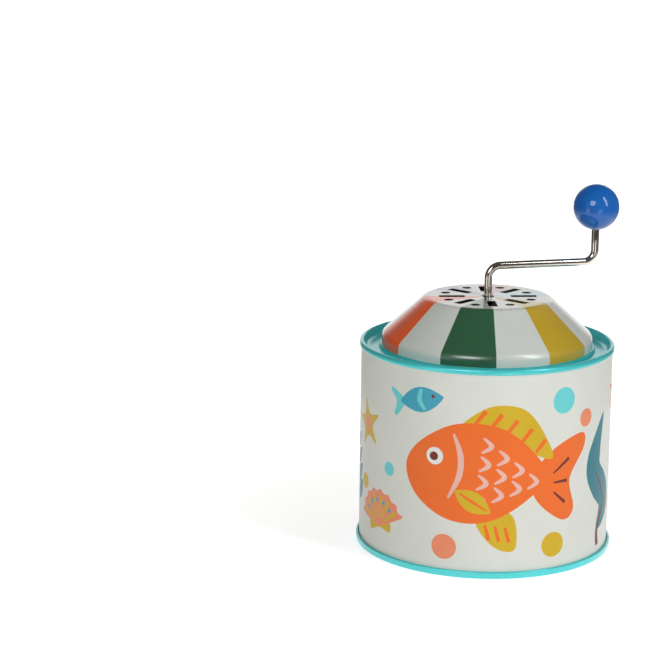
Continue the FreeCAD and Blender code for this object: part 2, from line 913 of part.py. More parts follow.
def pin(track, angle):
    """One pin: a slim prism standing radially out of the barrel."""
    corners = []
    for i in range(pin_sides + 1):
        turn = 2 * math.pi * i / pin_sides
        corners.append(Vector(pin_radius * math.cos(turn), pin_radius * math.sin(turn), 0))
    root_radius = barrel_radius - barrel_wall / 2
    prism = Part.Face(Part.makePolygon(corners)).extrude(
        on_axis(pin_tip_radius - root_radius)
    )
    prism.translate(on_axis(root_radius))
    prism.rotate(Vector(), Vector(1, 0, 0), angle)
    prism.translate(Vector(first_track + track * tooth_pitch, barrel_y, barrel_z))
    return prism


def tune():
    """(track, step) of each pin: a running figure, a bass on the beat and a few chords."""
    notes = []
    for step in range(tune_steps):
        melody = comb_teeth // 2 + (melody_stride * step) % (comb_teeth // 2)
        notes.append((melody, step))
        if step % bass_every == 0:
            notes.append((bass_stride * step // bass_every % bass_tracks, step))
        if step % chord_every == bass_every:
            notes.append((comb_teeth // 3 + step % 3, step))
    return notes


def pin_barrel():
    left = Vector(barrel_left, barrel_y, barrel_z)
    right = Vector(barrel_right, barrel_y, barrel_z)
    shell = tube(barrel_radius, barrel_radius - barrel_wall, left, right)
    pins = [pin(track, (step + 0.5) * 360 / tune_steps) for track, step in tune()]
    return shell.multiFuse(pins).removeSplitter()


def barrel_end_cap():
    left = Vector(barrel_right - cap_disc_thickness, barrel_y, barrel_z)
    right = Vector(barrel_right, barrel_y, barrel_z)
    end = Vector(barrel_right + barrel_end_gap / 2, barrel_y, barrel_z)
    cap = fuse_all([
        rod(spigot_radius, left, right),
        rod(2 * arbor_radius, right, end),
    ])
    return cap.cut(rod(arbor_radius + press_gap, left, end))


def barrel_arbor():
    return rod(
        arbor_radius,
        Vector(bracket_left - arbor_tail, barrel_y, barrel_z),
        Vector(post_right + arbor_tail, barrel_y, barrel_z),
    )


# Comb


def slot_end(x):
    """Height at which the slots between the teeth end, from long bass to short treble."""
    share = (x - comb_left) / (comb_right - comb_left)
    length = bass_slot_length + share * (treble_slot_length - bass_slot_length)
    return tooth_tip - length


def heel_line(x):
    return slot_end(x) - heel_margin


def comb_screw_places(y):
    return [
        Vector(comb_left + comb_screw_inset, y, comb_screw_z),
        Vector(comb_right - comb_screw_inset, y, comb_screw_z),
    ]


def comb():
    corners = [
        Vector(comb_left, comb_face, comb_bottom),
        Vector(comb_right, comb_face, comb_bottom),
        Vector(comb_right, comb_face, heel_line(comb_right)),
        Vector(comb_left, comb_face, heel_line(comb_left)),
    ]
    heel = Part.Face(Part.makePolygon(corners + corners[:1])).extrude(
        Vector(0, heel_thickness, 0)
    )
    blade = box(
        (comb_left, comb_right),
        (comb_face, comb_face + tooth_thickness),
        (comb_bottom, tooth_tip),
    )
    cuts = []
    for i in range(1, comb_teeth):
        x = comb_left + i * tooth_pitch
        cuts.append(
            box(
                (x - tooth_slot / 2, x + tooth_slot / 2),
                (comb_face, comb_face + tooth_thickness),
                (slot_end(x), tooth_tip),
            )
        )
    for place in comb_screw_places(comb_face):
        through = place + Vector(0, heel_thickness, 0)
        cuts.append(rod(screw_radius + press_gap, place, through))
    return fuse_all([heel, blade]).cut(Part.makeCompound(cuts))


def tooth_span(index):
    middle = first_track + index * tooth_pitch
    half_width = (tooth_pitch - tooth_slot) / 2
    return middle - half_width, middle + half_width


def comb_weights():
    """Lead blocks behind the bass teeth, heaviest on the lowest note."""
    back = comb_face + tooth_thickness
    weights = []
    for i in range(weight_count):
        share = i / max(weight_count - 1, 1)
        depth = weight_deepest + share * (weight_shallowest - weight_deepest)
        high = tooth_tip - weight_setback
        weights.append(box(tooth_span(i), (back, back + depth), (high - weight_length, high)))
    return Part.makeCompound(weights)


def comb_dampers():
    """Thin damper strips behind the tips of the teeth without weights."""
    back = comb_face + tooth_thickness
    return Part.makeCompound([
        box(
            tooth_span(i),
            (back, back + damper_thickness),
            (tooth_tip - damper_length, tooth_tip),
        )
        for i in range(weight_count, comb_teeth)
    ])


def comb_screws():
    return Part.makeCompound(
        [cheese_head_screw(seat, Vector(0, 1, 0)) for seat in comb_screw_places(comb_face)]
    )


nodes = {
    "drum_wall": drum_wall(),
    "bottom_plate": bottom_plate(),
    "top_ring": top_ring(),
    "sound_cap": sound_cap(),
    "carrier_bridge": carrier_bridge(),
    "hanger_bracket": hanger_bracket(),
    "hanger_rivets": hanger_rivets(),
    "hanger_screws": hanger_screws(),
    "bed_plate": bed_plate(),
    "bearing_bracket": bearing_bracket(),
    "bearing_screw": bearing_screw(),
    "shaft_bush_upper": shaft_bush(barrel_z + lug_offset, False),
    "shaft_bush_lower": shaft_bush(barrel_z - lug_offset - lug_thickness, True),
    "comb": comb(),
    "comb_weights": comb_weights(),
    "comb_dampers": comb_dampers(),
    "comb_screws": comb_screws(),
    "crank_wire": crank_wire(),
    "crank_knob": crank_knob(),
    "worm": worm(),
    "thrust_washers": thrust_washers(),
    "retaining_clip": retaining_clip(),
    "worm_wheel": worm_wheel(),
    "pin_barrel": pin_barrel(),
    "barrel_end_cap": barrel_end_cap(),
    "barrel_arbor": barrel_arbor(),
}

os.makedirs("parts", exist_ok=True)
for name, shape in nodes.items():
    shape.exportStep("parts/" + name + ".step")
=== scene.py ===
import json
import math

import bmesh
import bpy
from mathutils import Matrix, Vector
from mathutils.geometry import delaunay_2d_cdt


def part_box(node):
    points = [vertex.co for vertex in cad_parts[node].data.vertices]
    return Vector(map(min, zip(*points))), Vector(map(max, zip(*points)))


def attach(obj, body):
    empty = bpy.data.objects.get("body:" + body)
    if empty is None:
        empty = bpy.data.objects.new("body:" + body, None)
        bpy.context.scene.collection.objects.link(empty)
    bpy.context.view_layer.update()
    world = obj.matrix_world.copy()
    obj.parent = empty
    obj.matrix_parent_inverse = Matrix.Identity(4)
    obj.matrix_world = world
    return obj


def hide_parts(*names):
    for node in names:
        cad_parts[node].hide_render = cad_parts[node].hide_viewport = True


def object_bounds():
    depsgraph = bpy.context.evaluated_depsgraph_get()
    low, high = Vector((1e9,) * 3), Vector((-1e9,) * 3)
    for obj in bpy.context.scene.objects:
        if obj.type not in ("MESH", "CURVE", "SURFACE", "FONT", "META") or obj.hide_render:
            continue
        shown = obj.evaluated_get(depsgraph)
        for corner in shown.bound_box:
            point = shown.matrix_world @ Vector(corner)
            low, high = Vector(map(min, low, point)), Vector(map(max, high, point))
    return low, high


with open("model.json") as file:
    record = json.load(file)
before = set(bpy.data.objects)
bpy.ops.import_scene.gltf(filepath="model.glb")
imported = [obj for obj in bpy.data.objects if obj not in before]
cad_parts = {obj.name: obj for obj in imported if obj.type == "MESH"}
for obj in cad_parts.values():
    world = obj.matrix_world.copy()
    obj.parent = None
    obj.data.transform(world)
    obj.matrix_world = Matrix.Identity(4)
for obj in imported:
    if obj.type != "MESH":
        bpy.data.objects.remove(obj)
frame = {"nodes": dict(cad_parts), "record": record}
cad_low, cad_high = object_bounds()

# A printed tin music box. Everything is in metres, but the wall's print is drawn flat in
# millimetres; MM turns one into the other. Azimuths are in degrees from the front (-Y),
# positive towards +X.

MM = 0.001


# Places and sizes from the CAD frame, and the few more that its boxes don't show

base_low, base_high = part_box("bottom_plate")
wall_low, wall_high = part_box("drum_wall")
ring_low, ring_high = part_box("top_ring")
cap_low, cap_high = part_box("sound_cap")
wire_low, wire_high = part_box("crank_wire")
ball_low, ball_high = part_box("crank_knob")

SHEET = 0.3 * MM             # thickness of the tinplate
SHEET_GAP = 0.02 * MM        # between two layers of it
FLANGE_WIDTH = 3.3 * MM      # the cap's flange, under the ring
WIRE_RADIUS = 1.0 * MM
BALL_HOLE_LOSS = 0.086 * MM  # the wire's hole takes this off the ball's height


def to_hundredth(length):
    """To a hundredth of a millimetre, because the boxes are those of faceted meshes."""
    return round(length, 5)


WALL_RADIUS = to_hundredth((wall_high.x - wall_low.x) / 2)
BASE_RADIUS = to_hundredth((base_high.x - base_low.x) / 2)
RING_RADIUS = to_hundredth((ring_high.x - ring_low.x) / 2)
FLANGE_RADIUS = to_hundredth((cap_high.x - cap_low.x) / 2)
CAP_RADIUS = FLANGE_RADIUS - FLANGE_WIDTH
RIM_TOP = ring_high.z
VALLEY = ring_low.z + SHEET
CAP_TOP = cap_high.z
BALL_RADIUS = (ball_high.z - ball_low.z + BALL_HOLE_LOSS) / 2
BALL_CENTRE = Vector((
    (ball_low.x + ball_high.x) / 2,
    (ball_low.y + ball_high.y) / 2,
    ball_high.z - BALL_RADIUS,
))


# Mesh helpers


def at(radius, azimuth, z):
    """A point from its distance to the axis, its azimuth and its height."""
    turn = math.radians(azimuth)
    return Vector((radius * math.sin(turn), -radius * math.cos(turn), z))


def rounded(corners, step=7.0):
    """A polyline through (x, y, bend radius) corners, each bend drawn as an arc.

    The arc's points are at most the step apart, in degrees.
    """
    points = []
    last = len(corners) - 1
    for i, (x, y, bend) in enumerate(corners):
        here = Vector((x, y))
        if bend <= 0 or i in (0, last):
            points.append(here)
            continue
        into = (here - Vector(corners[i - 1][:2])).normalized()
        out = (Vector(corners[i + 1][:2]) - here).normalized()
        turn = math.atan2(into.x * out.y - into.y * out.x, into.dot(out))
        reach = bend * math.tan(abs(turn) / 2)
        side = math.copysign(bend, turn)
        start = here - into * reach
        centre = start + Vector((-into.y, into.x)) * side
        arm = start - centre
        count = max(int(abs(math.degrees(turn)) / step), 2)
        for k in range(count + 1):
            angle = turn * k / count
            points.append(centre + Vector((
                arm.x * math.cos(angle) - arm.y * math.sin(angle),
                arm.x * math.sin(angle) + arm.y * math.cos(angle),
            )))
    return points


def beside(points, distance):
    """The polyline moved by the distance to the left of its direction of travel."""
    moved_points = []
    for i, point in enumerate(points):
        before = points[max(i - 1, 0)]
        after = points[min(i + 1, len(points) - 1)]
        into = (point - before).normalized() if i else (after - point).normalized()
        out = (after - point).normalized() if i < len(points) - 1 else into
        share = max(1 + into.dot(out), 0.3)     # so that no sharp corner grows a spike
        across = Vector((-(into.y + out.y), into.x + out.x))
        moved_points.append(point + across * (distance / share))
    return moved_points


def join_rings(bm, first, second, material=0):
    """Joins two closed rings of vertices with a band of faces."""
    band = []
    for k in range(len(first)):
        n = (k + 1) % len(first)
        face = bm.faces.new((first[k], first[n], second[n], second[k]))
        face.material_index = material
        band.append(face)
    return band


def add_to_scene(name, data):
    piece = bpy.data.objects.new(name, data)
    bpy.context.scene.collection.objects.link(piece)
    return piece


def finish_mesh(name, bm, sharp=40.0):
    """Cleans the mesh and shades it smooth, but for edges sharper than the angle."""
    bmesh.ops.remove_doubles(bm, verts=bm.verts, dist=1e-7)
    bmesh.ops.dissolve_degenerate(bm, edges=bm.edges, dist=1e-8)
    bmesh.ops.recalc_face_normals(bm, faces=bm.faces)
    mesh = bpy.data.meshes.new(name)
    bm.to_mesh(mesh)
    bm.free()
    mesh.shade_smooth()
    mesh.set_sharp_from_angle(angle=math.radians(sharp))
    return add_to_scene(name, mesh)


def spin(bm, profile, count, start=0.0, closed=True, pick=None):
    """Turns a profile of (radius, height) points about the axis.

    pick gives a face's material index from its azimuth. A span that lies on the axis
    makes no faces.
    """
    rings = []
    for k in range(count):
        azimuth = start + 360.0 * k / count
        rings.append([bm.verts.new(at(p[0], azimuth, p[1])) for p in profile])
    spans = len(profile) if closed else len(profile) - 1
    for k in range(count):
        here, there = rings[k], rings[(k + 1) % count]
        for i in range(spans):
            j = (i + 1) % len(profile)
            if profile[i][0] < 1e-9 and profile[j][0] < 1e-9:
                continue
            face = bm.faces.new([here[i], there[i], there[j], here[j]])
            if pick:
                face.material_index = pick(start + 360.0 * (k + 0.5) / count)


def extent(shape):
    xs = [p.x for p in shape]
    ys = [p.y for p in shape]
    return min(xs), max(xs), min(ys), max(ys)


def holds(shape, box, x, y):
    """Whether the point is inside the closed shape, whose extent is the box."""
    left, right, foot, top = box
    if x < left or x > right or y < foot or y > top:
        return False
    inside = False
    previous = shape[-1]
    for point in shape:
        if (point.y > y) != (previous.y > y):
            if x < (previous.x - point.x) * (y - point.y) / (previous.y - point.y) + point.x:
                inside = not inside
        previous = point
    return inside


def ride(piece, body, slot, *stands_for):
    """Lets the piece ride on a body, in the place of the CAD nodes it stands for."""
    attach(piece, body)
    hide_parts(*stands_for)


# Materials

NOISE_LOW, NOISE_HIGH = 0.3, 0.7     # where nearly all of a noise's values lie
GLOSS_PATCH = 3.1 * MM


def link(tree, source, output, target, socket):
    tree.links.new(source.outputs[output], target.inputs[socket])


def noise(tree, where, size, detail=2.0, roughness=0.5):
    node = tree.nodes.new("ShaderNodeTexNoise")
    node.inputs["Scale"].default_value = 1 / size
    node.inputs["Detail"].default_value = detail
    node.inputs["Roughness"].default_value = roughness
    tree.links.new(where, node.inputs["Vector"])
    return node


def spread(tree, source, low, high, out_low, out_high):
    node = tree.nodes.new("ShaderNodeMapRange")
    node.inputs["From Min"].default_value = low
    node.inputs["From Max"].default_value = high
    node.inputs["To Min"].default_value = out_low
    node.inputs["To Max"].default_value = out_high
    tree.links.new(source, node.inputs["Value"])
    return node.outputs["Result"]


def shade(tree, factor, dark, light):
    node = tree.nodes.new("ShaderNodeMix")
    node.data_type = "RGBA"
    node.inputs["A"].default_value = (*dark, 1)
    node.inputs["B"].default_value = (*light, 1)
    tree.links.new(factor, node.inputs["Factor"])
    return node.outputs["Result"]


def new_material(name):
    made = bpy.data.materials.new(name)
    made.use_nodes = True
    return made, made.node_tree


def surface(
    name, colour, roughness, metallic=0.0, gloss=0.5, coat=0.0, coat_roughness=0.05, coat_ior=1.5,
    mottle=0.03, mottle_size=6.0, gloss_change=0.04, peel=0.0015, peel_size=1.2,
    along=None, uv_layer=None,
):
    """A finish with colour mottle, uneven gloss and a fine relief. Sizes are in millimetres.

    The gloss and relief can be stretched along an axis, or along the length that a UV
    layer runs in.
    """
    made, tree = new_material(name)
    shader = tree.nodes["Principled BSDF"]
    shader.inputs["Metallic"].default_value = metallic
    shader.inputs["Specular IOR Level"].default_value = gloss
    shader.inputs["Coat Weight"].default_value = coat
    shader.inputs["Coat Roughness"].default_value = coat_roughness
    shader.inputs["Coat IOR"].default_value = coat_ior
    place = tree.nodes.new("ShaderNodeTexCoord").outputs["Object"]
    grain = place
    if uv_layer:
        unrolled = tree.nodes.new("ShaderNodeUVMap")
        unrolled.uv_map = uv_layer
        grain = unrolled.outputs["UV"]
    if along:
        stretch = tree.nodes.new("ShaderNodeMapping")
        stretch.inputs["Scale"].default_value = along
        tree.links.new(grain, stretch.inputs["Vector"])
        grain = stretch.outputs["Vector"]
    patches = noise(tree, place, mottle_size * MM, 3.0)
    dark = [c * (1 - mottle) for c in colour]
    light = [min(c * (1 + mottle), 1) for c in colour]
    factor = spread(tree, patches.outputs["Fac"], NOISE_LOW, NOISE_HIGH, 0, 1)
    tree.links.new(shade(tree, factor, dark, light), shader.inputs["Base Color"])
    uneven = noise(tree, grain, GLOSS_PATCH, 4.0, 0.6)
    low, high = max(roughness - gloss_change, 0.02), roughness + gloss_change
    rough = spread(tree, uneven.outputs["Fac"], NOISE_LOW, NOISE_HIGH, low, high)
    tree.links.new(rough, shader.inputs["Roughness"])
    relief = noise(tree, grain, peel_size * MM)
    bump = tree.nodes.new("ShaderNodeBump")
    bump.inputs["Strength"].default_value = 1.0
    bump.inputs["Distance"].default_value = peel * MM
    link(tree, relief, "Fac", bump, "Height")
    link(tree, bump, "Normal", shader, "Normal")
    if coat:
        link(tree, bump, "Normal", shader, "Coat Normal")
    return made


WALL_INKS = {
    "cream": (0.80, 0.82, 0.755),
    "white": (0.88, 0.88, 0.85),
    "orange": (0.95, 0.175, 0.022),
    "yellow": (0.72, 0.48, 0.020),
    "coral": (0.93, 0.30, 0.155),
    "pink": (0.90, 0.53, 0.46),
    "blue": (0.060, 0.41, 0.56),
    "aqua": (0.17, 0.72, 0.73),
    "teal": (0.018, 0.21, 0.265),
    "maroon": (0.19, 0.026, 0.022),
}
wall_materials = {
    name: surface(
        "print_" + name, colour, 0.50, gloss=0.15, coat=0.35, coat_roughness=0.18,
        mottle=0.02, mottle_size=9.0, gloss_change=0.03, peel=0.0012, peel_size=1.6,
    )
    for name, colour in WALL_INKS.items()
}
CAP_INKS = {
    "cap_white": (0.70, 0.73, 0.68),
    "cap_green": (0.022, 0.112, 0.046),
    "cap_mustard": (0.61, 0.40, 0.014),
    "cap_aqua": (0.42, 0.72, 0.75),
    "cap_pink": (0.80, 0.43, 0.40),
    "cap_lavender": (0.40, 0.44, 0.62),
    "cap_orange": (0.98, 0.108, 0.005),
}
cap_materials = {
    name: surface(
        name, colour, 0.30, gloss=0.8, coat=1.0, coat_roughness=0.25, coat_ior=1.65,
        mottle=0.02, mottle_size=8.0, gloss_change=0.012, peel=0.0006, peel_size=1.5,
    )
    for name, colour in CAP_INKS.items()
}
# Partly metallic, as tinted lacquer over tin is
lacquer = surface(
    "teal_lacquer", (0.07, 0.73, 0.75), 0.42, metallic=0.37, coat=1.0, coat_roughness=0.16,
    mottle=0.012, mottle_size=6.0, gloss_change=0.02, peel=0.0006, peel_size=1.4,
)
bare_tin = surface(
    "bare_tin", (0.60, 0.59, 0.56), 0.32, metallic=1.0, mottle=0.06, mottle_size=2.2,
    peel=0.0012, peel_size=0.5,
)
# The wire's UV layer goes from 0 to 1 round the wire, and as far in every length unit
# along it. The grain is fine across the wire and long along it.
WIRE_AROUND = 2 * math.pi * WIRE_RADIUS
WIRE_LENGTH_UNIT = 20 * MM
nickel = surface(
    "bright_nickel", (0.76, 0.71, 0.645), 0.11, metallic=1.0, mottle=0.04, mottle_size=5.0,
    gloss_change=0.02, peel=0.0003, peel_size=0.5,
    along=(3 * WIRE_AROUND, 0.08 * WIRE_LENGTH_UNIT, 1), uv_layer="along_wire",
)
ball_paint = surface(
    "ball_gloss", (0.004, 0.130, 0.50), 0.50, gloss=0.15, coat=1.0, coat_roughness=0.08,
    mottle=0.04, mottle_size=3.0, gloss_change=0.03, peel=0.0009, peel_size=1.4,
)

# The movement inside keeps its CAD meshes, each with a finish for its material slot

movement_finishes = {}


def finish_for(slot, colour, roughness, **details):
    movement_finishes[slot] = surface(slot, colour, roughness, **details)


finish_for(
    "zinc_steel", (0.58, 0.59, 0.60), 0.34, metallic=1.0, mottle=0.10, mottle_size=1.6,
    peel=0.003, peel_size=0.4,
)
finish_for(
    "screw_steel", (0.66, 0.65, 0.60), 0.26, metallic=1.0, mottle=0.06, mottle_size=0.8,
    peel=0.002, peel_size=0.2,
)
finish_for(
    "die_cast", (0.50, 0.51, 0.52), 0.50, metallic=1.0, mottle=0.12, mottle_size=1.2,
    gloss_change=0.08, peel=0.012, peel_size=0.35,
)
finish_for(
    "bush_brass", (0.78, 0.57, 0.25), 0.24, metallic=1.0, mottle=0.06, mottle_size=0.9,
    peel=0.002, peel_size=0.2,
)
finish_for(
    "comb_steel", (0.52, 0.53, 0.55), 0.30, metallic=1.0, mottle=0.06, mottle_size=1.0,
    peel=0.003, peel_size=0.2, along=(6, 6, 0.4),
)
finish_for(
    "lead", (0.30, 0.31, 0.33), 0.55, metallic=1.0, mottle=0.12, mottle_size=0.7,
    peel=0.01, peel_size=0.3,
)
finish_for("damper_film", (0.80, 0.80, 0.76), 0.45, mottle=0.03, peel=0.002, peel_size=0.4)
finish_for(
    "gear_plastic", (0.82, 0.80, 0.72), 0.42, mottle=0.03, mottle_size=2.0,
    peel=0.003, peel_size=0.5,
)
finish_for(
    "barrel_brass", (0.76, 0.55, 0.24), 0.26, metallic=1.0, mottle=0.08, mottle_size=1.0,
    peel=0.002, peel_size=0.2, along=(0.3, 5, 5),
)
finish_for(
    "arbor_steel", (0.62, 0.62, 0.63), 0.20, metallic=1.0, mottle=0.05, mottle_size=0.8,
    peel=0.001, peel_size=0.2,
)
for row in frame["record"]["subparts"]:
    if row["material_slot"] in movement_finishes:
        node = frame["nodes"][row["node"]]
        node.data.materials.clear()
        node.data.materials.append(movement_finishes[row["material_slot"]])


# Drum wall: the print is drawn flat, (along the wall, height) in millimetres, then rolled

PRINT_RADIUS = WALL_RADIUS / MM
ROUND = 2 * math.pi * WALL_RADIUS / MM


def smooth(a, b, c, d, t):
    """The point at t between b and c, on the smooth curve through all four."""
    return 0.5 * (
        2 * b + (c - a) * t + (2 * a - 5 * b + 4 * c - d) * t ** 2
        + (3 * b - a - 3 * c + d) * t ** 3
    )


def placed(px, py, x, y, turn):
    """The point (px, py) of a shape that is turned and then moved to (x, y)."""
    return Vector((
        x + px * math.cos(turn) - py * math.sin(turn),
        y + px * math.sin(turn) + py * math.cos(turn),
    ))


def moved(shape, x, y, size, tilt, flip):
    """The shape after a flip, a change of size, a turn by the tilt and a move to (x, y)."""
    turn = math.radians(tilt)
    return [placed((-p[0] if flip else p[0]) * size, p[1] * size, x, y, turn) for p in shape]


def curve(points, count=7):
    """Closed smooth outline through the points."""
    made = []
    size = len(points)
    for i in range(size):
        a, b, c, d = (Vector(points[(i + k) % size]) for k in (-1, 0, 1, 2))
        made += [smooth(a, b, c, d, k / count) for k in range(count)]
    return made


def ribbon(points, widths, count=8):
    """A stroke along the points whose width goes evenly through the widths."""
    line = []
    last = len(points) - 1
    for i in range(last):
        a, b, c, d = (Vector(points[min(max(i + k, 0), last)]) for k in (-1, 0, 1, 2))
        line += [smooth(a, b, c, d, k / count) for k in range(count)]
    line.append(Vector(points[last]))
    left, right = [], []
    for i, point in enumerate(line):
        ahead = (line[min(i + 1, len(line) - 1)] - line[max(i - 1, 0)]).normalized()
        place = i / (len(line) - 1) * (len(widths) - 1)
        k = min(int(place), len(widths) - 2)
        half = (widths[k] + (widths[k + 1] - widths[k]) * (place - k)) / 2
        side = Vector((-ahead.y, ahead.x)) * half
        left.append(point + side)
        right.append(point - side)
    return left + right[::-1]


def oval(x, y, across, high, count=44):
    made = []
    for k in range(count):
        angle = 2 * math.pi * k / count
        made.append(Vector((x + across * math.cos(angle) / 2, y + high * math.sin(angle) / 2)))
    return made


def leaf(x, y, length, width, tilt, count=18):
    """Pointed at both ends, with sides a little fuller than a sine's."""
    fullness = 0.85
    made = []
    turn = math.radians(tilt)
    for side in (1, -1):
        for k in range(count):
            t = k / count
            px = side * (t - 0.5) * length
            py = -side * math.sin(math.pi * t) ** fullness * width / 2
            made.append(placed(px, py, x, y, turn))
    return made


def star(reach, waist, arms=5):
    """Soft-tipped, with one arm straight up."""
    corners = []
    for k in range(arms * 2):
        angle = math.pi / 2 + math.pi * k / arms
        radius = reach if k % 2 == 0 else waist
        corners.append((radius * math.cos(angle), radius * math.sin(angle)))
    return curve(corners, 6)


# Motifs, each a list of (ink, outline) pairs, lowest first


def bubble(ink, width):
    return [(ink, oval(0, 0, width, width))]


def fish(body, fin, scale, spot):
    """Nose at the left."""
    tail = [
        (10, 2), (16, 9), (24, 12.5), (25.5, 9), (21.5, 1),
        (24, -6.5), (21, -9.5), (14, -6), (10, -1),
    ]
    back_fin = [(-9, 10), (-3, 17.5), (6, 18), (13, 11), (15, 6), (6, 8)]
    belly_fin = [(-2, -11), (3, -17), (8.5, -17.5), (8, -11), (5, -8)]
    trunk = [
        (-22, -1.5), (-19, 5.5), (-10, 12.2), (1, 12.8), (10, 7.5),
        (14, 1.8), (10, -4.6), (1, -11), (-9, -12.2), (-18, -8.2),
    ]
    parts = [
        (body, curve(tail)), (fin, curve(back_fin)), (fin, curve(belly_fin)), (body, curve(trunk)),
    ]
    for k in range(5):
        x = -5.6 + 4.0 * k
        ray = [(x, 12.9 - 0.34 * k * k), (x + 2.2, 16.6 - 0.36 * k * k)]
        parts.append((body, ribbon(ray, [0.8, 1.2])))
    for k in range(3):
        x = 0.4 + 2.5 * k
        parts.append((body, ribbon([(x, -11.9), (x + 1.5, -15.6)], [0.7, 1.0])))
    gill = [(-10.4, 9.6), (-8.0, 4.6), (-7.6, -0.8), (-9.6, -6.8)]
    parts.append((scale, ribbon(gill, [0.5, 1.5, 1.5, 0.5])))
    for row in range(4):
        x = -0.6 + 4.2 * row
        count = 4 - row
        for k in range(count):
            y = 0.9 - 0.25 * row + (k - (count - 1) / 2) * 4.7
            chevron = [(x - 2.4, y + 1.9), (x - 0.2, y), (x - 2.4, y - 1.9)]
            parts.append((scale, ribbon(chevron, [0.45, 1.35, 0.45])))
    side_fin_rib = [(-7.0, -5.0), (-3.4, -6.6), (0.4, -8.3)]
    parts += [
        (fin, leaf(-3.4, -6.6, 10.5, 5.2, -24)),
        (body, ribbon(side_fin_rib, [0.4, 0.8, 0.3])),
        ("white", oval(-14.4, 3.0, 4.4, 4.4)),
        (spot, oval(-14.6, 2.9, 2.2, 2.2)),
    ]
    for k in range(3):
        ray = [(16.2 + k * 0.4, 2.4 - k * 2.4), (20.4 + k * 0.2, 6.2 - k * 5.6)]
        parts.append((spot, ribbon(ray, [0.4, 0.9])))
    return parts


def small_fish(body, fin, spot):
    """Nose at the left."""
    tail = [
        (3.4, 0.4), (6.6, 3.2), (7.6, 2.8), (6.3, 0), (7.6, -2.8), (6.6, -3.2), (3.4, -0.4),
    ]
    return [
        (fin, curve(tail)),
        (body, leaf(-1, 0, 12, 6.0, 0)),
        (fin, ribbon([(-1.6, -2.5), (-0.6, 0), (-1.6, 2.5)], [0.8, 1.3, 0.8])),
        (spot, oval(-4.3, 0.5, 0.9, 0.9, 20)),
    ]


def shell(fan, rib, dot):
    """A scallop, hinge down."""
    edge = []
    for k in range(15):
        angle = math.radians(164 - 148 * k / 14)
        bulge = 7.6 if k % 2 == 0 else 7.0
        edge.append((bulge * math.cos(angle), bulge * math.sin(angle)))
    hinge = [(-3.4, -1.2), (-3.0, 1.4), (3.0, 1.4), (3.4, -1.2), (0, -0.4)]
    parts = [
        (rib, curve(hinge)),
        (fan, curve([(-1.4, 0.2)] + edge + [(1.4, 0.2)], 4)),
    ]
    for k in range(6):
        angle = math.radians(152 - 124 * k / 5)
        way = Vector((math.cos(angle), math.sin(angle)))
        parts.append((rib, ribbon([way * 1.6, way * 6.3], [0.35, 0.85], 3)))
    for k in range(5):
        angle = math.radians(139.6 - 99.2 * k / 4)
        x, y = 5.1 * math.cos(angle), 5.1 * math.sin(angle)
        parts.append((dot, oval(x, y, 0.95, 0.95, 20)))
    return parts


def weed(leaf_ink, stem_ink, height, lean, pairs):
    """A stem with broad leaves on both sides, foot at the origin."""
    spine = [(0, 0), (lean * 0.3, height * 0.35), (lean * 0.5, height * 0.7), (lean, height)]
    parts = []
    for k in range(pairs):
        t = 0.26 + 0.56 * k / (pairs - 1)
        foot = Vector((lean * t, height * t))
        length = 9.0 - 3.4 * k / pairs
        for side in (-1, 1):
            angle = 90 - side * 42
            way = Vector((math.cos(math.radians(angle)), math.sin(math.radians(angle))))
            centre = foot + way * length * 0.52
            parts.append((leaf_ink, leaf(centre.x, centre.y, length, length * 0.44, angle)))
    parts.append((leaf_ink, leaf(lean * 1.02, height + 2.6, 10.0, 4.4, 86)))
    parts.append((stem_ink, ribbon(spine, [1.5, 1.0, 0.5])))
    return parts


def kelp(ink, stem_ink, height, sway):
    """One broad wavy blade with a slim stem drawn up its middle."""
    blade = [(0, 3), (sway, height * 0.3), (-sway * 0.7, height * 0.6), (sway * 0.4, height)]
    stem = [(0.4, -1.5), (0, 3), (sway * 0.8, height * 0.3), (-sway * 0.4, height * 0.55)]
    return [
        (ink, ribbon(blade, [1.5, 7.0, 8.2, 6.0, 0.4], 12)),
        (stem_ink, ribbon(stem, [1.7, 1.2, 0.3], 10)),
    ]


def whale(body, belly, line, spout):
    """Nose at the right."""
    flukes = [
        (-13, 1.5), (-18, 6), (-22.5, 11), (-26, 13.6), (-25.6, 10.5),
        (-27.8, 5.8), (-23, 5.2), (-18.5, 0.5), (-13, -3.5),
    ]
    trunk = [
        (20.5, -1.5), (18.5, 6.5), (11, 10.6), (1, 10.8), (-8, 7), (-15, 2.8),
        (-17.4, 0), (-12, -4.8), (-3, -9.4), (8, -10.6), (17, -8),
    ]
    throat = [
        (19.4, -3.0), (10, -3.4), (0, -3.6), (-8.5, -5.2), (-3.6, -8.8), (8, -10), (16.4, -7.5),
    ]
    flipper = [(2, -2.4), (5, -5.5), (4, -11.4), (0.5, -12.4), (-1.5, -7)]
    parts = [(body, curve(flukes)), (body, curve(trunk)), (belly, curve(throat))]
    for k in range(6):
        x = -3.5 + 3.9 * k
        parts.append((line, ribbon([(x, -4.4), (x + 0.7, -8.7)], [0.5, 0.8], 3)))
    parts += [
        (line, curve(flipper)),
        ("white", oval(12.6, 1.6, 3.0, 3.0)),
        ("maroon", oval(12.9, 1.5, 1.5, 1.6, 24)),
    ]
    for side in (-1, 1):
        jet = [(6, 12), (6 + side * 1.6, 15.5), (6 + side * 4.6, 15.4), (6 + side * 5.4, 13)]
        parts.append((spout, ribbon(jet, [0.8, 1.5, 1.3, 0.7])))
    return parts


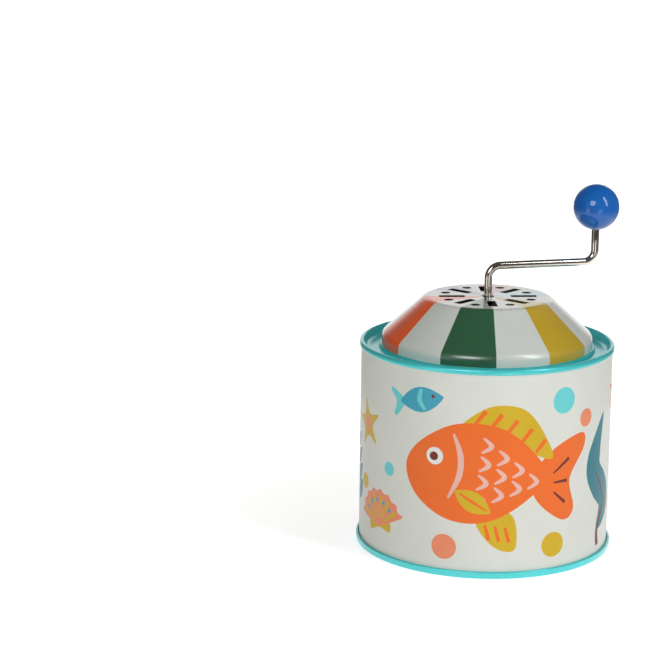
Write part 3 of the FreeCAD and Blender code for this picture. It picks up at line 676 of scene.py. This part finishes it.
def jelly(dome, arm, dot):
    bell = [
        (-7, 0), (-6.4, 4.6), (-2.6, 8), (2.6, 8), (6.4, 4.6),
        (7, 0), (3.5, 0.9), (0, 0.1), (-3.5, 0.9),
    ]
    parts = []
    for k in range(5):
        x = -4.4 + 2.2 * k
        sway = 1.2 if k % 2 else -1.2
        tip = -12 + abs(k - 2)
        line = [(x, 0.5), (x + sway, -4), (x - sway, -8), (x + sway * 0.6, tip)]
        parts.append((arm, ribbon(line, [1.3, 1.1, 0.5])))
    parts.append((dome, curve(bell)))
    for x, y in ((-3.6, 3.8), (0, 5.4), (3.6, 3.8)):
        parts.append((dot, oval(x, y, 1.7, 1.7, 24)))
    return parts


artwork = []


def put(parts, azimuth, z, size=1.0, tilt=0.0, flip=False):
    """Adds a motif to the print, on top of those before it."""
    along = PRINT_RADIUS * math.radians(azimuth)
    for ink, outline in parts:
        shape = moved(outline, along, z, size, tilt, flip)
        artwork.append((ink, shape, extent(shape)))


put(fish("orange", "yellow", "pink", "maroon"), 3, 25.5, 1.0, -7)
put(small_fish("blue", "aqua", "maroon"), -31, 43.6, 1.05, 12, flip=True)
put(shell("coral", "yellow", "blue"), -54, 8.6, 1.25, 8)
put([("yellow", star(6.6, 3.0)), ("coral", star(3.0, 1.3))], -66, 33.5, 1.0, 12)
put(kelp("teal", "maroon", 33, 4.2), 64, 5.0)
put(bubble("aqua", 6.6), 37, 44.0)
put(bubble("coral", 4.6), 51, 38.4)
put(bubble("yellow", 6.4), 33, 7.6)
put(bubble("aqua", 3.6), -47, 24.2)
put(bubble("coral", 6.4), -17, 7.4)
put([("orange", star(5.6, 2.6)), ("pink", oval(0, 0, 2.6, 2.6, 28))], 86, 41.0, 1.0, -10)
put(shell("coral", "pink", "yellow"), 92, 8.0, 0.95, -10)
put(whale("blue", "aqua", "teal", "aqua"), 126, 24.5, 0.84, 4)
put(bubble("pink", 6.4), 107, 43.5)
put(bubble("yellow", 5.2), 149, 43.6)
put(weed("teal", "maroon", 17, 1.2, 3), 166, 4.0, 0.9)
put(bubble("orange", 5.6), 128, 7.2)
put(jelly("pink", "maroon", "orange"), 168.5, 38.0, 0.72)
put(jelly("orange", "yellow", "pink"), -168.5, 34.0, 0.72, -6)
put(shell("yellow", "coral", "maroon"), -160, 7.2, 0.9, 6)
put(fish("yellow", "pink", "orange", "teal"), -126, 26.5, 0.71, 6, flip=True)
put(bubble("aqua", 6.4), -144, 43.0)
put(bubble("blue", 4.4), -137, 8.6)
put(small_fish("teal", "blue", "white"), -103, 43.8, 1.0, -8)
put(small_fish("orange", "pink", "maroon"), -106, 7.4, 0.95, 6, flip=True)
put(weed("teal", "maroon", 25, -1.6, 4), -83, 4.2)
put(bubble("yellow", 4.2), -68.5, 18.0)

# The folded side seam at the back, in the print's millimetres

SEAM_HALF_WIDTH = 2.3
SEAM_SIDE = 0.35                            # width of the slope at each side
SEAM_STEPS = (1.95, 2.04, 2.12, 2.21, 2.3)  # from the seam's middle, to draw that slope at
SEAM_LOW, SEAM_HIGH = 1.95, 51.0
SEAM_END = 0.25                             # length of the slope at the top and at the foot
SEAM_RISE = 0.25                            # height over the wall
COLUMNS = 180                               # flat strips that the round wall is drawn with


def ease(distance, slope):
    """Rises smoothly from 0 to 1 over the slope."""
    t = min(max(distance / slope, 0), 1)
    return t * t * (3 - 2 * t)


def fold_height(u, z):
    """How far the seam stands out at a point of the print."""
    across = ease(SEAM_HALF_WIDTH - (ROUND / 2 - abs(u)), SEAM_SIDE)
    return SEAM_RISE * across * ease(z - SEAM_LOW, SEAM_END) * ease(SEAM_HIGH - z, SEAM_END)


def print_lines(low, high):
    """The points and edges that the flat print is cut along."""
    points, edges = [], []

    def draw(shape, is_closed):
        first = len(points)
        points.extend(shape)
        count = len(shape)
        for k in range(count if is_closed else count - 1):
            edges.append((first + k, first + (k + 1) % count))

    columns = [ROUND * (k / COLUMNS - 0.5) for k in range(COLUMNS + 1)]
    near_seam = [ROUND / 2 - step for step in SEAM_STEPS]
    rows = (low, SEAM_LOW, SEAM_LOW + SEAM_END, SEAM_HIGH - SEAM_END, SEAM_HIGH, high)
    for u in sorted(columns + near_seam + [-u for u in near_seam]):
        draw([Vector((u, z)) for z in rows], False)
    for z in (low, high):
        draw([Vector((-ROUND / 2, z)), Vector((ROUND / 2, z))], False)
    for _, shape, _ in artwork:
        draw(shape, True)
    return points, edges


def roll(bm, flat):
    """Rolls the flat print's points round the wall.

    Its two ends meet at the back, where points at the same height become one vertex.
    """
    verts, ends = [], {}
    for p in flat:
        is_end = abs(abs(p.x) - ROUND / 2) < 1e-3
        height = round(p.y, 4)
        if is_end and height in ends:
            verts.append(ends[height])
            continue
        radius = PRINT_RADIUS + fold_height(p.x, p.y)
        made = bm.verts.new(at(radius * MM, math.degrees(p.x / PRINT_RADIUS), p.y * MM))
        if is_end:
            ends[height] = made
        verts.append(made)
    return verts


def ink_at(x, y):
    """The topmost ink at a point of the print."""
    top = "cream"
    for ink, shape, box in artwork:
        if holds(shape, box, x, y):
            top = ink
    return top


def turn_in(bm, z, material):
    """Closes the sheet at its rim, and gives the points along the inside."""
    ring = [v for v in bm.verts if abs(v.co.z - z) < 1e-7]
    ring.sort(key=lambda v: math.atan2(v.co.x, -v.co.y))
    inner = []
    for v in ring:
        share = (WALL_RADIUS - SHEET) / math.hypot(v.co.x, v.co.y)
        inner.append(bm.verts.new((v.co.x * share, v.co.y * share, v.co.z)))
    join_rings(bm, ring, inner, material)
    return inner


def wall_normal(face, co):
    """The round wall's own normal, so that no thin triangle shows in its gloss."""
    is_rim = abs(face.normal.z) > 0.9
    if is_rim:
        return face.normal.copy()
    out = Vector((co.x, co.y, 0)).normalized()
    is_inside = face.normal.dot(out) < 0
    if is_inside:
        return -out
    u = PRINT_RADIUS * math.atan2(co.x, -co.y)
    z = co.z / MM
    reach = 0.02
    slope = (fold_height(u + reach, z) - fold_height(u - reach, z)) / (2 * reach)
    return (out - Vector((-out.y, out.x, 0)) * slope).normalized()


def build_wall():
    points, edges = print_lines(wall_low.z / MM, wall_high.z / MM)
    flat, _, faces, _, _, _ = delaunay_2d_cdt(points, edges, [], 0, 1e-5)
    inks = list(wall_materials)
    bm = bmesh.new()
    verts = roll(bm, flat)
    for corners in faces:
        picked = [verts[i] for i in corners]
        if len(set(picked)) < 3:
            continue
        x = sum(flat[i].x for i in corners) / 3
        y = sum(flat[i].y for i in corners) / 3
        bm.faces.new(picked).material_index = inks.index(ink_at(x, y))
    plain = len(inks)
    lower = turn_in(bm, wall_low.z, plain)
    upper = turn_in(bm, wall_high.z, plain)
    join_rings(bm, lower, upper, plain)
    bmesh.ops.recalc_face_normals(bm, faces=bm.faces)
    mesh = bpy.data.meshes.new("wall_printed")
    bm.to_mesh(mesh)
    bm.free()
    for material in (*wall_materials.values(), bare_tin):
        mesh.materials.append(material)
    mesh.shade_smooth()
    mesh.normals_split_custom_set([
        wall_normal(face, mesh.vertices[index].co)
        for face in mesh.polygons
        for index in face.vertices
    ])
    return add_to_scene("wall_printed", mesh)


ride(build_wall(), "tin", "wall_print", "drum_wall")


# Lacquered bottom with its pressed seam, and the stamped top ring


def build_base():
    # The wall's foot stands in the seam's groove
    groove_in = WALL_RADIUS - SHEET - SHEET_GAP
    groove_out = WALL_RADIUS + SHEET_GAP
    chuck = groove_in - SHEET
    top = 1.8 * MM
    # The groove is a little open at its top, which shows as a dark line
    mouth = WALL_RADIUS + 0.20 * MM
    mouth_floor = top - 1.0 * MM
    mouth_end = top - 1.15 * MM
    # The bottom is raised by the recess, and its middle panel by a step more
    recess, step = 2.4 * MM, 0.7 * MM
    panel = 25 * MM
    soft = 0.5 * MM
    outline = rounded([
        (0, recess + step, 0),
        (panel, recess + step, soft),
        (panel + step, recess, soft),
        (chuck, recess, 0.35 * MM),
        (chuck, 0, 0.22 * MM),
        (BASE_RADIUS, 0, 0.42 * MM),
        (BASE_RADIUS, top, 0.32 * MM),
        (mouth, top, 0.24 * MM),
        (mouth, mouth_floor, 0),
        (groove_out, mouth_end, 0),
        (groove_out, SHEET, 0),
        (groove_in, SHEET, 0),
        (groove_in, recess + SHEET, 0.1 * MM),
        (panel + step, recess + SHEET, soft),
        (panel, recess + step + SHEET, soft),
        (0, recess + step + SHEET, 0),
    ], 9.0)
    bm = bmesh.new()
    spin(bm, outline, 240, closed=False)
    piece = finish_mesh("base_seam", bm)
    piece.data.materials.append(lacquer)
    return piece


ride(build_base(), "tin", "teal_lacquer", "bottom_plate")


def build_ring():
    slope = math.radians(72)
    cap_gap, wall_gap = 0.05 * MM, 0.1 * MM
    collar = CAP_RADIUS + cap_gap + SHEET
    collar_height = 1.3 * MM
    crest_edge = WALL_RADIUS - SHEET - wall_gap - SHEET * math.tan(slope / 2)
    valley_edge = crest_edge - (RIM_TOP - VALLEY) / math.tan(slope)
    # The bead curls down and in towards the wall
    curl_side = RIM_TOP - 1.2 * MM
    curl_foot = RIM_TOP - 1.45 * MM
    top = rounded([
        (WALL_RADIUS + SHEET - SHEET_GAP, curl_foot, 0),
        (RING_RADIUS, curl_side, 0.2 * MM),
        (RING_RADIUS, RIM_TOP, 0.73 * MM),
        (crest_edge, RIM_TOP, 0.35 * MM),
        (valley_edge, VALLEY, 1.2 * MM),
        (collar, VALLEY, 0.5 * MM),
        (collar, VALLEY + collar_height, 0),
    ], 6.0)
    under = beside(top, SHEET)
    bm = bmesh.new()
    spin(bm, top + under[::-1], 288)
    piece = finish_mesh("ring_lacquered", bm)
    piece.data.materials.append(lacquer)
    return piece


ride(build_ring(), "tin", "teal_lacquer", "top_ring")


# Sound cap: a turned shell with twelve print sectors and a stamped, slotted top

SECTOR_START = 5.3
SECTORS = [
    "cap_white", "cap_mustard", "cap_white", "cap_aqua", "cap_white", "cap_pink",
    "cap_white", "cap_lavender", "cap_white", "cap_orange", "cap_white", "cap_green",
]
SECTOR_ANGLE = 360 / len(SECTORS)
SECTOR_LINE_START = 0.6 * MM       # inside the shaft hole, so that the lines don't meet

SHAFT_HOLE = 1.5 * MM
HOLES_OF_A_KIND = 8                # slots and round holes by turns
HOLE_START = 6.8
HOLE_STEP = 360 / HOLES_OF_A_KIND
SLOT_LENGTH = 6.5 * MM
SLOT_WIDTH = 2.2 * MM
SLOT_CORNER = 0.22 * MM
SLOT_DISTANCE = 9.15 * MM
ROUND_HOLE = 1.15 * MM
ROUND_HOLE_DISTANCE = 11.25 * MM


def sector(azimuth):
    """The material index of the print at an azimuth."""
    name = SECTORS[int((azimuth - SECTOR_START) % 360 // SECTOR_ANGLE)]
    return list(cap_materials).index(name)


def bare(azimuth):
    """The same for the unprinted tin."""
    return len(cap_materials)


def azimuth_of(x, y):
    return math.degrees(math.atan2(x, -y))


def slot_outline(azimuth, grow):
    """A slot with rounded corners that points outwards."""
    made = []
    turn = math.radians(azimuth)
    half_length, half_width = SLOT_LENGTH / 2 + grow, SLOT_WIDTH / 2 + grow
    bend = SLOT_CORNER + grow
    for k, (side_x, side_y) in enumerate(((1, 1), (-1, 1), (-1, -1), (1, -1))):
        for n in range(5):
            angle = math.pi / 2 * (k + n / 4)
            x = SLOT_DISTANCE + side_x * (half_length - bend) + bend * math.cos(angle)
            y = side_y * (half_width - bend) + bend * math.sin(angle)
            made.append(placed(x, y, 0, 0, turn - math.pi / 2))
    return made


def round_outline(radius, distance, azimuth, grow, count=28):
    turn = math.radians(azimuth)
    width = 2 * (radius + grow)
    return oval(distance * math.sin(turn), -distance * math.cos(turn), width, width, count)


def cap_holes(grow):
    """The outlines of all holes, each wider by the growth on every side."""
    made = [round_outline(SHAFT_HOLE, 0, 0, grow, 40)]
    for k in range(HOLES_OF_A_KIND):
        azimuth = HOLE_START + HOLE_STEP * k
        made.append(slot_outline(azimuth, grow))
        between = azimuth + HOLE_STEP / 2
        made.append(round_outline(ROUND_HOLE, ROUND_HOLE_DISTANCE, between, grow))
    return made


def plate(bm, edge_radius, z, grow, count, pick):
    """The flat of the cap between its bend and the holes.

    pick gives a face's material index from its azimuth. A printed plate is cut along the
    edges of the sectors too. What comes back is each hole's vertices in order, each with
    those that a sector's edge adds before the next.
    """
    points = [at(edge_radius, SECTOR_START + 360 * k / count, 0).xy for k in range(count)]
    edges = [(k, (k + 1) % count) for k in range(count)]
    holes = [(shape, extent(shape)) for shape in cap_holes(grow)]
    loops = []
    for shape, box in holes:
        first = len(points)
        points.extend(shape)
        loops.append(range(first, first + len(shape)))
        edges += [(first + k, first + (k + 1) % len(shape)) for k in range(len(shape))]
    if pick is sector:
        for k in range(len(SECTORS)):
            edges.append((len(points), len(points) + 1))
            for radius in (SECTOR_LINE_START, edge_radius):
                points.append(at(radius, SECTOR_START + SECTOR_ANGLE * k, 0).xy)
    scaled = [p / MM for p in points]
    flat, _, faces, origins, _, _ = delaunay_2d_cdt(scaled, edges, [], 1, 1e-6)
    verts = [bm.verts.new((p.x * MM, p.y * MM, z)) for p in flat]
    where = {source: vert for vert, sources in zip(verts, origins) for source in sources}
    for corners in faces:
        x = sum(flat[i].x for i in corners) / len(corners) * MM
        y = sum(flat[i].y for i in corners) / len(corners) * MM
        if any(holds(shape, box, x, y) for shape, box in holes):
            continue
        face = bm.faces.new([verts[i] for i in corners])
        face.material_index = pick(azimuth_of(x, y))
    added = [v for v, sources in zip(verts, origins) if v.link_faces and not sources]
    for v in [v for v in verts if not v.link_faces]:
        bm.verts.remove(v)
    made = []
    for loop in loops:
        corners = [where[i] for i in loop]
        made.append([])
        for first, last in zip(corners, corners[1:] + corners[:1]):
            length = (last.co - first.co).length
            between = [
                v for v in added
                if (v.co - first.co).length + (last.co - v.co).length < length + 1e-5 * MM
            ]
            between.sort(key=lambda v: (v.co - first.co).length)
            made[-1].append((first, between))
    return made


def build_cap():
    count = 360
    flange_top = cap_low.z + SHEET
    shoulder = VALLEY + 3.8 * MM
    bend, top_edge = 2.4 * MM, 16 * MM
    outer = rounded([
        (FLANGE_RADIUS, flange_top, 0),
        (CAP_RADIUS, flange_top, 0.12 * MM),
        (CAP_RADIUS, shoulder, bend),
        (top_edge, CAP_TOP, bend),
        (top_edge - 2 * MM, CAP_TOP, 0),
    ], 4.0)
    inner = beside(outer, SHEET)
    # The flat's own points only gave the last bend its direction: the plates fill the flat
    outer.pop()
    inner.pop()
    bm = bmesh.new()
    spin(bm, outer, count, SECTOR_START, closed=False, pick=sector)
    spin(bm, [outer[0]] + inner, count, SECTOR_START, closed=False, pick=bare)
    # The holes' stamped edges are rounded at the top and flare a little inside. Between
    # the two faces lie rings of some growth and depth.
    top_grow, inside_grow = 0.07 * MM, 0.14 * MM
    rings = ((0.03 * MM, 0.03 * MM), (0.0, 0.08 * MM))
    loops = [plate(bm, outer[-1].x, CAP_TOP, top_grow, count, sector)]
    for grow, depth in rings:
        loops.append([
            [(bm.verts.new((p.x, p.y, CAP_TOP - depth)), []) for p in shape]
            for shape in cap_holes(grow)
        ])
    loops.append(plate(bm, inner[-1].x, CAP_TOP - SHEET, inside_grow, count, bare))
    for level, pick in enumerate((sector, bare, bare)):
        for upper, lower in zip(loops[level], loops[level + 1]):
            for k, (corner, between) in enumerate(upper):
                n = (k + 1) % len(upper)
                face = bm.faces.new((corner, *between, upper[n][0], lower[n][0], lower[k][0]))
                face.material_index = pick(azimuth_of(corner.co.x, corner.co.y))
    piece = finish_mesh("cap_striped", bm, 32.0)
    for material in (*cap_materials.values(), bare_tin):
        piece.data.materials.append(material)
    return piece


ride(build_cap(), "tin", "cap_print", "sound_cap")


# Crank: the bent wire and the ball pressed on it


def build_wire():
    bend, bend_steps = 3.0 * MM, 18
    flattening = 0.025             # a bent wire is a little flatter round its bends
    chamfer, end_share = 0.2 * MM, 0.8
    # The groove for the retaining clip
    groove_low = wire_low.z + 1.38 * MM
    groove_high = wire_low.z + 2.02 * MM
    groove_side, groove_share = 0.005 * MM, 0.75
    arm_z = CAP_TOP + 7.8 * MM
    foot = Vector((0, 0, wire_low.z))
    low_corner = Vector((0, 0, arm_z))
    high_corner = Vector((BALL_CENTRE.x, BALL_CENTRE.y, arm_z))
    top = Vector((BALL_CENTRE.x, BALL_CENTRE.y, wire_high.z))
    out = (high_corner - low_corner).normalized()
    up = Vector((0, 0, 1))
    # Places along the wire, each with its share of the full radius
    stations = [
        (foot, end_share),
        (foot + up * chamfer, 1.0),
        (Vector((0, 0, groove_low)), 1.0),
        (Vector((0, 0, groove_low + groove_side)), groove_share),
        (Vector((0, 0, groove_high - groove_side)), groove_share),
        (Vector((0, 0, groove_high)), 1.0),
    ]
    bends = (
        (low_corner - up * bend + out * bend, -out, up),
        (high_corner - out * bend + up * bend, -up, out),
    )
    for centre, first, second in bends:
        for k in range(bend_steps + 1):
            angle = math.pi / 2 * k / bend_steps
            arm = (first * math.cos(angle) + second * math.sin(angle)) * bend
            stations.append((centre + arm, 1.0 - flattening * math.sin(2 * angle)))
    stations += [(top - up * chamfer, 1.0), (top, end_share)]
    bm = bmesh.new()
    uv = bm.loops.layers.uv.new("along_wire")
    side = out.cross(up)
    sides = 40
    rings, lengths = [], [0.0]
    for i, (point, share) in enumerate(stations):
        before, after = stations[max(i - 1, 0)][0], stations[min(i + 1, len(stations) - 1)][0]
        across = (after - before).normalized().cross(side)
        if i:
            lengths.append(lengths[-1] + (point - before).length)
        rings.append([
            bm.verts.new(point + (side * math.cos(a) + across * math.sin(a)) * WIRE_RADIUS * share)
            for a in (2 * math.pi * k / sides for k in range(sides))
        ])
    for i in range(len(rings) - 1):
        for k, face in enumerate(join_rings(bm, rings[i], rings[i + 1])):
            places = ((k, i), (k + 1, i), (k + 1, i + 1), (k, i + 1))
            for loop, (a, b) in zip(face.loops, places):
                loop[uv].uv = (a / sides, lengths[b] / WIRE_LENGTH_UNIT)
    bm.faces.new(rings[0][::-1])
    bm.faces.new(rings[-1])
    piece = finish_mesh("wire_bent", bm, 50.0)
    piece.data.materials.append(nickel)
    return piece


ride(build_wire(), "crank", "crank_nickel", "crank_wire")


def build_ball():
    bore, bore_end = 1.02 * MM, 1.12 * MM
    chamfer, lip = 0.28 * MM, 0.1 * MM
    mouth = math.asin((bore + chamfer) / BALL_RADIUS)
    floor = -BALL_RADIUS * math.cos(mouth)
    steps = 60
    profile = []
    for k in range(steps):
        angle = mouth + (math.pi - mouth) * k / steps
        profile.append((BALL_RADIUS * math.sin(angle), -BALL_RADIUS * math.cos(angle)))
    profile += [
        (0.0, BALL_RADIUS),
        (0.0, bore_end),
        (bore, bore_end),
        (bore, floor + chamfer),
        (bore + lip, floor + lip),
    ]
    bm = bmesh.new()
    spin(bm, profile, 96)
    bmesh.ops.translate(bm, verts=bm.verts, vec=BALL_CENTRE)
    piece = finish_mesh("ball_glossy", bm, 35.0)
    piece.data.materials.append(ball_paint)
    return piece


ride(build_ball(), "crank", "knob_blue", "crank_knob")


# Floor and world


def from_middle(tree):
    """The distance from the middle of the floor."""
    away = tree.nodes.new("ShaderNodeVectorMath")
    away.operation = "LENGTH"
    link(tree, tree.nodes.new("ShaderNodeTexCoord"), "Object", away, 0)
    return away.outputs["Value"]


def calculate(tree, operation, first, second):
    node = tree.nodes.new("ShaderNodeMath")
    node.operation = operation
    tree.links.new(first, node.inputs[0])
    tree.links.new(second, node.inputs[1])
    return node.outputs["Value"]


def floor_material():
    """Paper that glows white to the camera and in gloss, but less near the tin, for its shadow."""
    near, far, near_glow = 0.05, 0.25, 0.58
    made, tree = new_material("floor_paper")
    tree.nodes.clear()
    out = tree.nodes.new("ShaderNodeOutputMaterial")
    diffuse = tree.nodes.new("ShaderNodeBsdfDiffuse")
    diffuse.inputs["Color"].default_value = (0.90, 0.90, 0.90, 1)
    glow = tree.nodes.new("ShaderNodeEmission")
    path = tree.nodes.new("ShaderNodeLightPath").outputs
    seen = calculate(tree, "MAXIMUM", path["Is Camera Ray"], path["Is Glossy Ray"])
    seen = calculate(tree, "MAXIMUM", seen, path["Is Transmission Ray"])
    away = spread(tree, from_middle(tree), near, far, near_glow, 1.0)
    tree.links.new(calculate(tree, "MULTIPLY", seen, away), glow.inputs["Strength"])
    both = tree.nodes.new("ShaderNodeAddShader")
    link(tree, diffuse, "BSDF", both, 0)
    link(tree, glow, "Emission", both, 1)
    link(tree, both, "Shader", out, "Surface")
    return made


def build_floor():
    bm = bmesh.new()
    bmesh.ops.create_circle(bm, cap_ends=True, segments=64, radius=6.0)
    mesh = bpy.data.meshes.new("floor")
    bm.to_mesh(mesh)
    bm.free()
    mesh.materials.append(floor_material())
    piece = add_to_scene("floor", mesh)
    piece.location = (0, 0, cad_low.z)
    return piece


floor = build_floor()

world = bpy.data.worlds.new("studio")
bpy.context.scene.world = world
world.use_nodes = True
background = world.node_tree.nodes["Background"]
background.inputs["Color"].default_value = (1, 1, 1, 1)
background.inputs["Strength"].default_value = 1.0


# Lamps, and dim cards for the dark room that the gloss reflects

MIDDLE = Vector((0, 0, 0.045))
LAMP_LEVEL = 0.04              # the height that the lamps' elevations start from


def lamp(name, place, width, height, power):
    """A rectangular lamp that faces the tin's middle."""
    light = bpy.data.lights.new(name, "AREA")
    light.shape = "RECTANGLE"
    light.size = width
    light.size_y = height
    light.energy = power
    made = add_to_scene(name, light)
    made.location = place
    made.rotation_mode = "QUATERNION"
    made.rotation_quaternion = (MIDDLE - place).to_track_quat("-Z", "Y")
    return made


def around(azimuth, elevation, distance):
    rise = math.radians(elevation)
    return at(distance * math.cos(rise), azimuth, distance * math.sin(rise) + LAMP_LEVEL)


lamp("key", around(54, 33, 1.0), width=0.15, height=0.80, power=2.7)
lamp("second", around(-20, 29, 1.1), width=0.43, height=0.43, power=3.2)
overhead = lamp("overhead", Vector((0.0, 0.25, 1.2)), width=1.1, height=0.5, power=1.8)
overhead.visible_glossy = False

CARD_HEIGHT = 1.3
TABLE_SECTORS = [(-152, -52), (-34, 14), (30, 152)]     # first and last azimuth


def card(name, corners, faces, colour, only_gloss=True):
    """A plain card that only reflections see, or one that keeps light off as well."""
    mesh = bpy.data.meshes.new(name)
    mesh.from_pydata(corners, [], faces)
    made, tree = new_material(name + "_grey")
    tree.nodes.clear()
    out = tree.nodes.new("ShaderNodeOutputMaterial")
    glow = tree.nodes.new("ShaderNodeEmission")
    glow.inputs["Color"].default_value = (*colour, 1)
    link(tree, glow, "Emission", out, "Surface")
    mesh.materials.append(made)
    piece = add_to_scene(name, mesh)
    piece.visible_camera = False
    piece.visible_diffuse = not only_gloss
    piece.visible_shadow = not only_gloss
    piece.visible_transmission = False
    return piece


def upright(name, first, last, colour, height=CARD_HEIGHT, only_gloss=True):
    """A card standing on the floor from one (x, y) to another."""
    corners = [(*first, 0), (*last, 0), (*last, height), (*first, height)]
    card(name, corners, [(0, 1, 2, 3)], colour, only_gloss)


def card_above():
    near, far, side = -2.8, 2.7, 2.2
    corners = [
        (x, y, CARD_HEIGHT) for x, y in ((-side, near), (side, near), (side, far), (-side, far))
    ]
    card("card_above", corners, [(0, 1, 2, 3)], (0.07, 0.07, 0.07), only_gloss=False)


def table_card(name, first, last):
    """A sector of the far floor as gloss shows it, lighter towards the middle."""
    inner, outer, lift, steps = 0.15, 1.6, 0.002, 24
    glow_end, glow_gain = 0.34, 5.0
    corners = []
    for k in range(steps + 1):
        azimuth = first + (last - first) * k / steps
        corners += [at(radius, azimuth, cad_low.z + lift) for radius in (inner, outer)]
    faces = [(2 * k, 2 * k + 1, 2 * k + 3, 2 * k + 2) for k in range(steps)]
    table = card(name, corners, faces, (0.16, 0.15, 0.135))
    tree = table.data.materials[0].node_tree
    glow = spread(tree, from_middle(tree), inner, glow_end, glow_gain, 1.0)
    tree.links.new(glow, tree.nodes["Emission"].inputs["Strength"])


card_above()
upright(
    "card_left", (-0.75, -0.60), (-0.75, 0.90), (0.10, 0.095, 0.075),
    height=1.2, only_gloss=False,
)
upright("card_room", (-1.7, -1.7), (1.7, -1.7), (0.06, 0.06, 0.06))
upright("card_right", (1.3, -1.6), (1.3, 1.4), (0.06, 0.06, 0.06))
upright("card_back_left", (-2.3, 1.5), (-0.7, 1.5), (0.09, 0.09, 0.08))
upright("card_back_right", (0.60, 1.5), (2.3, 1.5), (0.09, 0.09, 0.09))
# The floor shows as light bands between the sectors. The two in front streak the wire.
for part, (first, last) in enumerate(TABLE_SECTORS):
    table_card("card_table_%d" % part, first, last)


# Camera

LENS, SENSOR = 115.5, 36.0
CAMERA_PLACE = Vector((0, -0.5233, 0.1738))
YAW, PITCH, ROLL = (math.radians(a) for a in (4.452, 12.768, 0.465))

lens = bpy.data.cameras.new("photo_lens")
lens.lens = LENS
lens.sensor_width = SENSOR
lens.sensor_fit = "HORIZONTAL"
camera = add_to_scene("photo_lens", lens)
forward = Vector((
    -math.sin(YAW) * math.cos(PITCH),
    math.cos(YAW) * math.cos(PITCH),
    -math.sin(PITCH),
))
right = Vector((math.cos(YAW), math.sin(YAW), 0))
up = right.cross(forward)
rolled_right = right * math.cos(ROLL) + up * math.sin(ROLL)
rolled_up = up * math.cos(ROLL) - right * math.sin(ROLL)
basis = Matrix((rolled_right, rolled_up, -forward)).transposed().to_4x4()
basis.translation = CAMERA_PLACE
camera.matrix_world = basis
bpy.context.scene.camera = camera

bpy.context.scene.view_settings.view_transform = "Standard"
